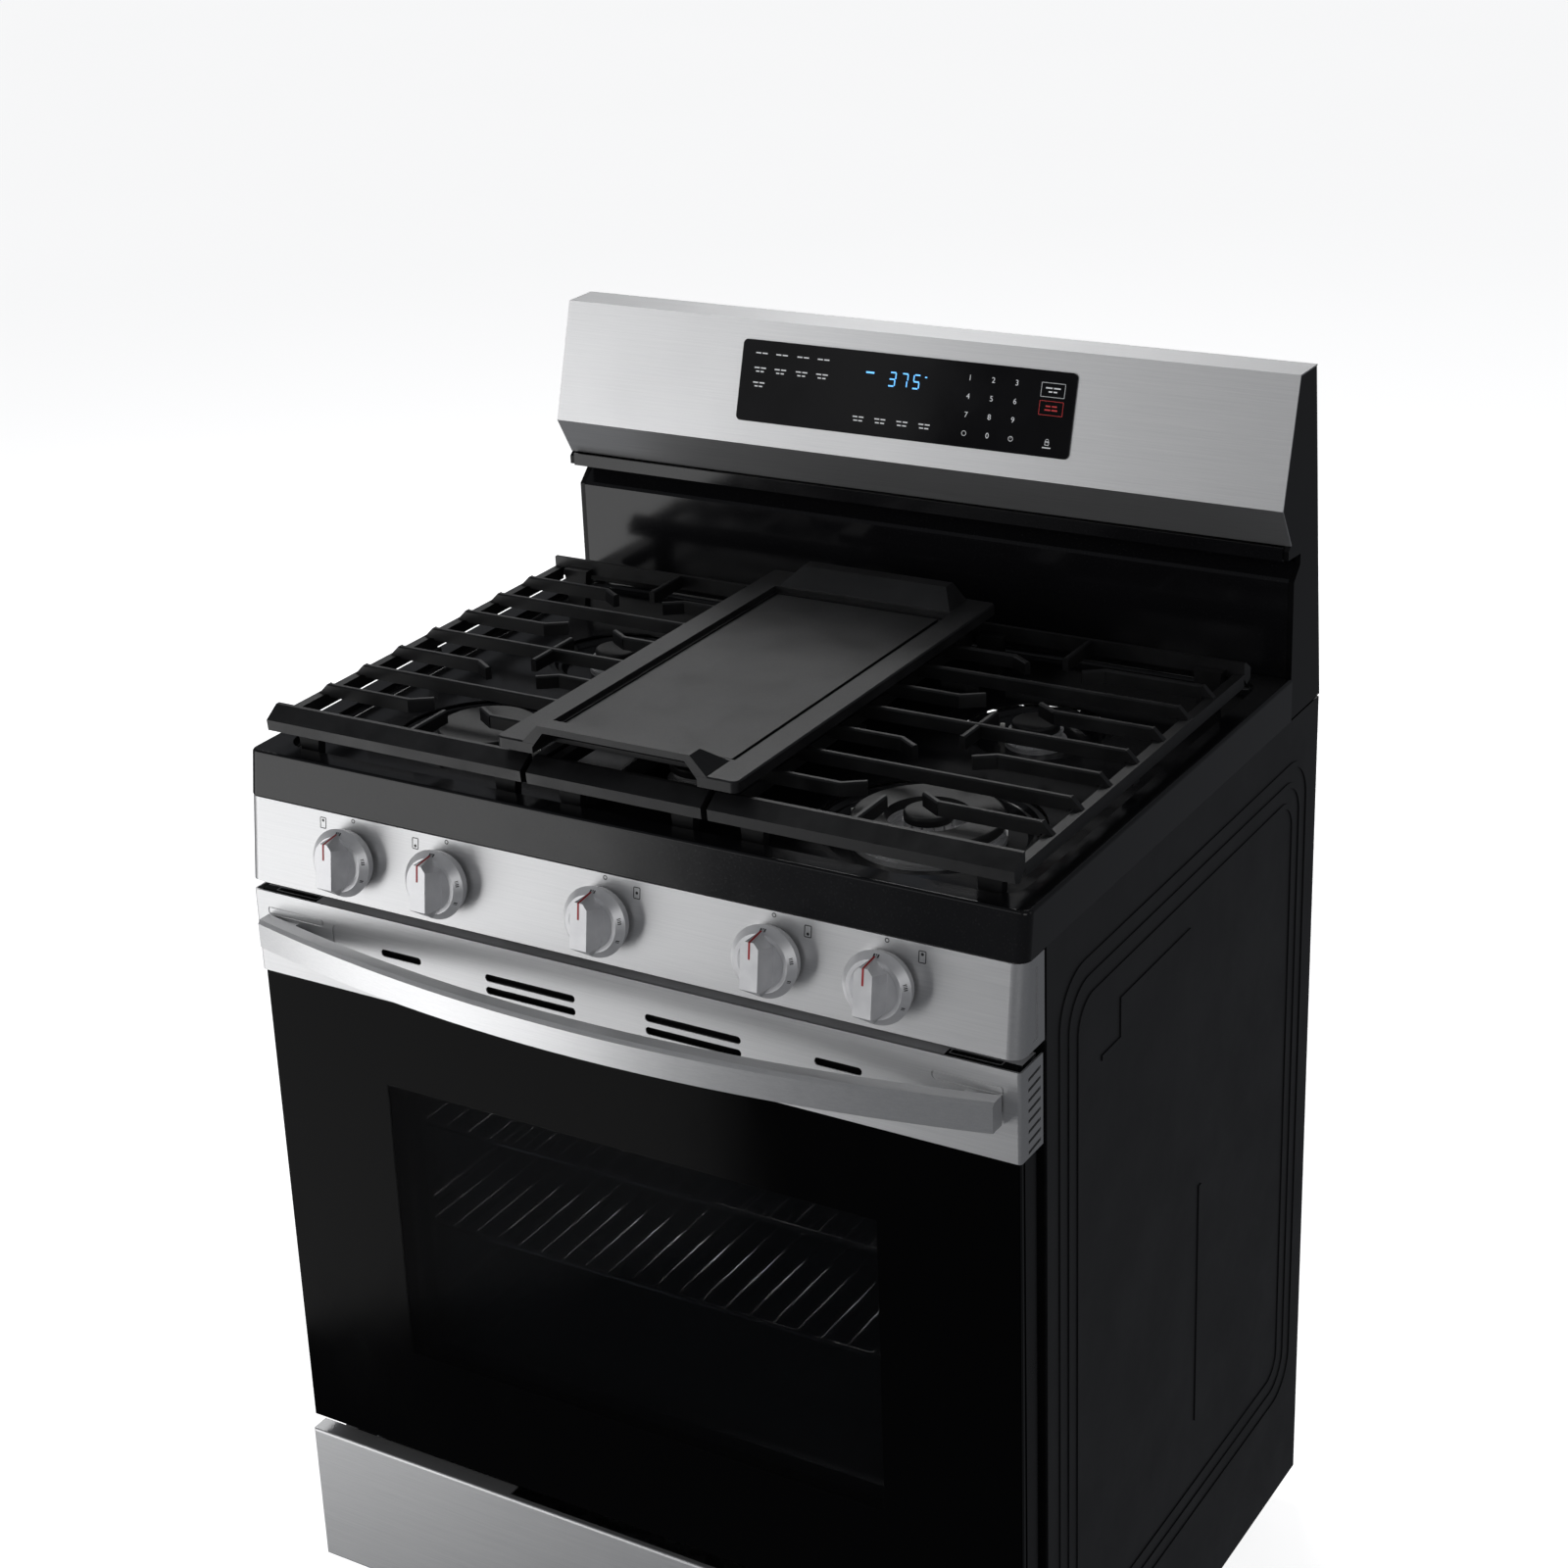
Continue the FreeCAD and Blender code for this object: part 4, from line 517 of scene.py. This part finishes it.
# burner icon: a small upright frame with a dot high, low or in the middle
ICON_UP = 0.0275
ICON_ACROSS = (-0.033, -0.033, 0.031, 0.031, 0.031)
ICON_WIDTH = 0.0068
ICON_HEIGHT = 0.0104
ICON_CORNER = 0.0012
ICON_DOT_RADIUS = 0.0013
ICON_DOT_STEP = 0.0022
ICON_DOT_LEVELS = (1, -1, 0, -1, 1)

# knob: its skirt ends in a 45 degree chamfer that starts at this radius and height
SKIRT_RADIUS = 0.0305
SKIRT_SHOULDER = 0.014
TICK_LIFT = 0.00012
TICK_INNER = 0.0262
TICK_OUTER = 0.0284
TICK_GAP = 1.4
# groups of ticks: angle of the middle and width of each tick, in degrees
TICK_GROUPS = ((90.0, (3.0, 2.4, 2.4)), (14.0, (1.6, 1.0, 2.0, 2.0)), (-24.0, (2.2, 1.2)))

# red line along the front of the grip and down its pointed end: up the panel, then out from it
POINTER_PATH = ((0.0087, 0.0380), (0.0230, 0.0380), (0.0274, 0.0195))
POINTER_HALF_WIDTH = 0.0009
POINTER_LIFT = 0.00016


def panel_point(x):
    """Point of the panel face at knob height."""
    t = (KNOB_Z - PANEL_LOW.z) / (PANEL_HIGH.z - PANEL_LOW.z)
    return Vector((x, PANEL_LOW.y + t * (PANEL_HIGH.y - PANEL_LOW.y), KNOB_Z))


def panel_marks():
    """Burner position icons and a small index circle above each knob."""
    marks = Marks(panel_point(0.0), PANEL_V)
    for x, across, level in zip(MARK_X, ICON_ACROSS, ICON_DOT_LEVELS):
        marks.ring(x, INDEX_UP, INDEX_RADIUS, MARK_LINE)
        icon = x + across
        marks.frame(icon, ICON_UP, ICON_WIDTH, ICON_HEIGHT, MARK_LINE, ICON_CORNER)
        marks.disc(icon, ICON_UP + level * ICON_DOT_STEP, ICON_DOT_RADIUS)
    marks.done("panel_icons", DARK_INK, "range")


def knob_marks(k, x):
    """Red pointer on the grip and printed ticks round the skirt."""
    base = panel_point(x)

    def at(a, b, w):
        return base + ACROSS * a + PANEL_V * b + PANEL_N * w

    mesh = bpy.data.meshes.new("knob_pointer_%d" % k)
    bm = bmesh.new()
    rows = []
    for b, w in POINTER_PATH:
        rows.append([bm.verts.new(at(s * POINTER_HALF_WIDTH, b, w + POINTER_LIFT)) for s in (-1, 1)])
    for low, high in zip(rows, rows[1:]):
        bm.faces.new([low[0], low[1], high[1], high[0]])
    bm.to_mesh(mesh)
    bm.free()
    place("knob_pointer_%d" % k, mesh, RED_INK, "knob_%d" % k)

    mesh = bpy.data.meshes.new("knob_ticks_%d" % k)
    bm = bmesh.new()

    def on_skirt(r, t):
        w = SKIRT_SHOULDER + (SKIRT_RADIUS - r) + TICK_LIFT
        return bm.verts.new(at(r * math.cos(t), r * math.sin(t), w))

    for centre, widths in TICK_GROUPS:
        angle = centre + (sum(widths) + TICK_GAP * (len(widths) - 1)) / 2
        for width in widths:
            t0 = math.radians(angle)
            t1 = math.radians(angle - width)
            corners = ((TICK_INNER, t0), (TICK_OUTER, t0), (TICK_OUTER, t1), (TICK_INNER, t1))
            bm.faces.new([on_skirt(r, t) for r, t in corners])
            angle -= width + TICK_GAP
    bm.to_mesh(mesh)
    bm.free()
    place("knob_ticks_%d" % k, mesh, DARK_INK, "knob_%d" % k)


# display: its plane runs along the face of the glass pane, and marks are placed from its middle
BG_FOLD = Vector((0, 0.237, 1.079))
BG_TOP = Vector((0, 0.271, 1.192))
BG_V = (BG_TOP - BG_FOLD).normalized()
BG_N = ACROSS.cross(BG_V)
GLASS_MIDDLE_Z = 1.137
GLASS_PROUD = 0.00165
DISPLAY_MID = BG_FOLD + BG_V * ((GLASS_MIDDLE_Z - BG_FOLD.z) / BG_V.z) + BG_N * GLASS_PROUD

# captions: rows of (width, gap in the middle), and the columns and heights they stand at
CAPTION_TWO_ROWS = ((0.0125, 0.0007), (0.0085, 0.0006))
CAPTION_ONE_ROW = ((0.0125, 0.0007),)
CAPTION_LOWER = ((0.0115, 0.0007), (0.0095, 0.0006))
CAPTION_PITCH = 0.0034
CAPTION_LINE = 0.0012
LEFT_COLUMNS = (-0.152, -0.130, -0.107, -0.085)
LEFT_ROWS = ((0.0265, LEFT_COLUMNS, CAPTION_ONE_ROW), (0.0125, LEFT_COLUMNS, CAPTION_TWO_ROWS),
             (-0.0015, LEFT_COLUMNS[:1], CAPTION_TWO_ROWS))
LOWER_COLUMNS = (-0.042, -0.019, 0.004, 0.027)
LOWER_ROW = -0.0225

# keypad
KEYS = (("1", 0, 0), ("2", 1, 0), ("3", 2, 0), ("4", 0, 1), ("5", 1, 1), ("6", 2, 1),
        ("7", 0, 2), ("8", 1, 2), ("9", 2, 2), ("0", 1, 3))
KEY_LEFT = 0.068
KEY_TOP = 0.0245
KEY_ACROSS = 0.0235
KEY_DOWN = 0.0168
KEY_SIZE = 0.0072
ROUND_KEY_X = (KEY_LEFT, 0.115)
ROUND_KEY_Y = KEY_TOP - KEY_DOWN * 3
ROUND_KEY_RADIUS = 0.0024

# boxes at the right-hand end: a white one, a red one below it and a small padlock
BOX_X = 0.151
BOX_WIDTH = 0.0235
BOX_HEIGHT = 0.0130
BOX_LINE = 0.0004
BOX_CORNER = 0.0006
WHITE_BOX_Y = 0.0215
RED_BOX_Y = 0.0052
BOX_CAPTION_UP = 0.0017
LOCK_Y = -0.0262
LOCK_WIDTH = 0.0042
LOCK_HEIGHT = 0.0036
SHACKLE_UP = 0.0022
SHACKLE_RADIUS = 0.0017
LOCK_CAPTION_DOWN = 0.0040
LOCK_CAPTION_WIDTH = 0.0085

# clock digits, a 3, a 7 and a 5: the lit bars of each one, with its place across
CLOCK = (("abcdg", -0.011), ("abc", 0.0015), ("acdfg", 0.014))
CLOCK_Y = 0.0155
CLOCK_HEIGHT = 0.0125
CLOCK_SLANT = 0.12
CLOCK_BAR_FILL = 0.86
# small lit bars beside the clock: place across and up, width and height
LIT_BARS = ((0.0235, 0.0205, 0.0022, 0.0011), (-0.0345, 0.0195, 0.0085, 0.0016))


def seven_segment(marks, lit, a, b, h):
    """One digit of height h, drawn with the lit bars of a seven-segment figure."""
    w = h * 0.5
    t = h * 0.1
    bars = {"a": (0, h / 2, w, t), "g": (0, 0, w, t), "d": (0, -h / 2, w, t),
            "f": (-w / 2, h / 4, t, h / 2), "b": (w / 2, h / 4, t, h / 2), "c": (w / 2, -h / 4, t, h / 2)}
    for name in lit:
        x, y, width, height = bars[name]
        if height > t:
            height *= CLOCK_BAR_FILL
        marks.rect(a + x + y * CLOCK_SLANT, b + y, width * CLOCK_BAR_FILL, height)


def label(marks, a, b, widths):
    """Generic caption: short bars in place of words."""
    for row, (width, gap) in enumerate(widths):
        for side in (-1, 1):
            middle = a + side * (gap / 2 + width / 4)
            marks.rect(middle, b - row * CAPTION_PITCH, width / 2 - gap, CAPTION_LINE)


def box(marks, y, caption):
    """Outlined box with a caption inside it."""
    marks.frame(BOX_X, y, BOX_WIDTH, BOX_HEIGHT, BOX_LINE, BOX_CORNER)
    label(marks, BOX_X, y + BOX_CAPTION_UP, caption)


def white_marks():
    """Captions, keypad, upper box and padlock, printed in white ink with a painted glow."""
    marks = Marks(DISPLAY_MID, BG_V)
    for b, columns, caption in LEFT_ROWS:
        for a in columns:
            label(marks, a, b, caption)
    for a in LOWER_COLUMNS:
        label(marks, a, LOWER_ROW, CAPTION_LOWER)
    for digit, col, row in KEYS:
        marks.text(digit, KEY_LEFT + KEY_ACROSS * col, KEY_TOP - KEY_DOWN * row, KEY_SIZE)
    for a in ROUND_KEY_X:
        marks.ring(a, ROUND_KEY_Y, ROUND_KEY_RADIUS, 0.0005)
    marks.rect(ROUND_KEY_X[1], ROUND_KEY_Y + 0.0008, 0.0004, 0.0018)
    box(marks, WHITE_BOX_Y, ((0.0145, 0.0007), (0.0085, 0.0006)))
    marks.frame(BOX_X, LOCK_Y, LOCK_WIDTH, LOCK_HEIGHT, 0.0005, 0.0004)
    marks.ring(BOX_X, LOCK_Y + SHACKLE_UP, SHACKLE_RADIUS, 0.0004)
    marks.rect(BOX_X, LOCK_Y - LOCK_CAPTION_DOWN, LOCK_CAPTION_WIDTH, 0.001)
    marks.done("display_marks", WHITE_INK_PAINTED_GLOW, "range")


def red_marks():
    """Lower box, printed in red with a painted glow."""
    marks = Marks(DISPLAY_MID, BG_V)
    box(marks, RED_BOX_Y, ((0.0110, 0.0007), (0.0125, 0.0006)))
    marks.done("display_red_marks", RED_PRINT_PAINTED_GLOW, "range")


def clock_marks():
    """Lit clock digits and the small bars beside them."""
    marks = Marks(DISPLAY_MID, BG_V)
    for lit, a in CLOCK:
        seven_segment(marks, lit, a, CLOCK_Y, CLOCK_HEIGHT)
    for bar in LIT_BARS:
        marks.rect(*bar)
    marks.done("display_digits", BLUE_LIGHT, "range")


# top edge of the door: its height, a grey sheet with stepped ends (dark grey paint lifted to a mid grey as
# painted light), and a rim round each slot
DOOR_TOP_Z = 0.7835
RIM_LIFT = 0.00006
SHEET_LIFT = 0.00002
SLOT_X = 0.335
SLOT_Y = -0.270
RIM_WIDTH = 0.046
RIM_DEPTH = 0.0076
RIM_LINE = 0.0012
RIM_CORNER = 0.002
SHEET_Y = -0.2608
SHEET_WIDTH = 0.620
SHEET_DEPTH = 0.0356
STEP_X = 0.341
STEP_Y = -0.2550
STEP_WIDTH = 0.062
STEP_DEPTH = 0.0240


def door_top_marks():
    """Bright pressed rims round the two slots in the top edge of the door, and its grey sheet, whose mid
    grey is painted light on dark grey paint.
    """
    rims = Marks((0, 0, DOOR_TOP_Z + RIM_LIFT), (0, 1, 0))
    for x in (-SLOT_X, SLOT_X):
        rims.frame(x, SLOT_Y, RIM_WIDTH, RIM_DEPTH, RIM_LINE, RIM_CORNER)
    rims.done("door_slot_rims", STEEL, "door")
    sheet = Marks((0, 0, DOOR_TOP_Z + SHEET_LIFT), (0, 1, 0))
    sheet.rect(0.0, SHEET_Y, SHEET_WIDTH, SHEET_DEPTH)
    for x in (-STEP_X, STEP_X):
        sheet.rect(x, STEP_Y, STEP_WIDTH, STEP_DEPTH)
    sheet.done("door_top_painted_light_sheet", DOOR_TOP_GREY_AND_PAINTED_LIGHT, "door")


panel_marks()
door_top_marks()
for k, x in enumerate(KNOB_X, 1):
    knob_marks(k, x)
white_marks()
red_marks()
clock_marks()

EDGE_WIDTHS = (("control_panel", 0.0004), ("door_top_trim", 0.0003), ("backguard_panel", 0.0005),
               ("drawer_front", 0.0004), ("door_handle", 0.0008), ("griddle", 0.0009),
               ("display_glass", 0.0004), ("backguard_end_caps", 0.0008),
               ("backguard_lower_panel", 0.0004), ("door_outer_glass", 0.0003))
for node, width in EDGE_WIDTHS:
    soften(node, width)
for k in KNOB_NUMBERS:
    soften("knob_%d" % k, 0.0005)


# ---------------------------------------------------------------- stage
FLOOR_HALF = 14.0
FLOOR_GLOW = 0.84
ROOM_TONE = (0.9, 0.93, 1.0, 1.0)
ROOM_STRENGTH = 0.11
WHITE = (1.0, 1.0, 1.0)
WARM = (1.0, 0.95, 0.88)


def stage_floor():
    """Pale floor that only the camera sees, so that it throws no light back on the range."""
    mesh = bpy.data.meshes.new("floor")
    bm = bmesh.new()
    bmesh.ops.create_grid(bm, x_segments=8, y_segments=8, size=FLOOR_HALF)
    bm.to_mesh(mesh)
    bm.free()
    floor = bpy.data.objects.new("floor", mesh)
    bpy.context.scene.collection.objects.link(floor)
    m = Nodes("floor_pale", (0.86, 0.86, 0.865), 0.0, 0.7, Specular_IOR_Level=0.1)
    m.colour(m.mix(m.span(m.noise(0.8), 0.0, 1.0, 0.3, 0.7), (0.84, 0.84, 0.845), (0.88, 0.88, 0.885)))
    m.set("Emission Color", (*WHITE, 1.0))
    m.set("Emission Strength", FLOOR_GLOW)
    mesh.materials.append(m.mat)
    floor.visible_glossy = False
    floor.visible_diffuse = False
    floor.visible_shadow = False


def softbox(name, size, watts, at, aim, tone=WHITE):
    """Rectangular area light at one point, turned towards another."""
    data = bpy.data.lights.new(name, "AREA")
    data.shape = "RECTANGLE"
    data.size = size[0]
    data.size_y = size[1]
    data.energy = watts
    data.color = tone
    obj = bpy.data.objects.new(name, data)
    bpy.context.scene.collection.objects.link(obj)
    obj.location = at
    obj.rotation_euler = (Vector(aim) - Vector(at)).to_track_quat("-Z", "Y").to_euler()


def studio_world():
    """White backdrop for the camera, dim grey surroundings for light and reflections."""
    world = bpy.data.worlds.new("studio")
    bpy.context.scene.world = world
    world.use_nodes = True
    tree = world.node_tree
    room = tree.nodes["Background"]
    room.inputs["Color"].default_value = ROOM_TONE
    room.inputs["Strength"].default_value = ROOM_STRENGTH
    backdrop = tree.nodes.new("ShaderNodeBackground")
    backdrop.inputs["Color"].default_value = (*WHITE, 1.0)
    backdrop.inputs["Strength"].default_value = 1.0
    seen = tree.nodes.new("ShaderNodeLightPath")
    blend = tree.nodes.new("ShaderNodeMixShader")
    tree.links.new(seen.outputs["Is Camera Ray"], blend.inputs[0])
    tree.links.new(room.outputs[0], blend.inputs[1])
    tree.links.new(backdrop.outputs[0], blend.inputs[2])
    tree.links.new(blend.outputs[0], tree.nodes["World Output"].inputs["Surface"])


stage_floor()
studio_world()
softbox("key_left", (2.2, 4.0), 55.0, (-2.5, -2.4, 0.4), (0.0, -0.1, 0.4))
softbox("front_high", (2.6, 1.2), 6.0, (-0.8, -3.4, 2.6), (0.0, 0.0, 0.9))
softbox("rear_top", (2.0, 1.0), 40.0, (-1.5, 1.9, 3.4), (0.0, 0.0, 0.9))
softbox("front_right", (1.6, 1.8), 13.0, (2.6, -2.6, 1.9), (0.0, -0.2, 0.85))
softbox("right_rim", (1.0, 2.2), 2.5, (3.2, 0.4, 1.8), (0.0, 0.0, 0.8))
softbox("back_fill", (2.0, 1.6), 18.0, (-0.9, 3.4, 1.2), (0.0, 0.3, 0.6))
softbox("oven_glow", (0.3, 0.2), 1.8, (0.0, 0.02, 0.675), (0.0, -0.05, 0.3), WARM)

# camera: where it stands, which way it looks (angles in radians) and its lens in millimetres
EYE = (1.259519, -2.092792, 1.887323)
AZIMUTH = 0.593936
ELEVATION = 0.37394
ROLL = -0.05827
SENSOR = 36.0
LENS = 68.115375


def camera_axes():
    """Rotation whose columns are the camera's right, up and backward directions."""
    level = math.cos(ELEVATION)
    back = Vector((math.sin(AZIMUTH) * level, -math.cos(AZIMUTH) * level, math.sin(ELEVATION)))
    right = (-back).cross(Vector((0, 0, 1))).normalized()
    up = right.cross(-back)
    x_axis = right * math.cos(ROLL) + up * math.sin(ROLL)
    y_axis = up * math.cos(ROLL) - right * math.sin(ROLL)
    return Matrix((x_axis, y_axis, back)).transposed()


camera = bpy.data.objects.new("camera", bpy.data.cameras.new("camera"))
bpy.context.scene.collection.objects.link(camera)
camera.matrix_world = Matrix.Translation(EYE) @ camera_axes().to_4x4()
camera.data.sensor_width = SENSOR
camera.data.lens = LENS
camera.data.shift_x = 0.10
camera.data.shift_y = -0.05
camera.data.clip_start = 0.05
camera.data.clip_end = 60.0
bpy.context.scene.camera = camera
bpy.context.scene.view_settings.view_transform = "Standard"
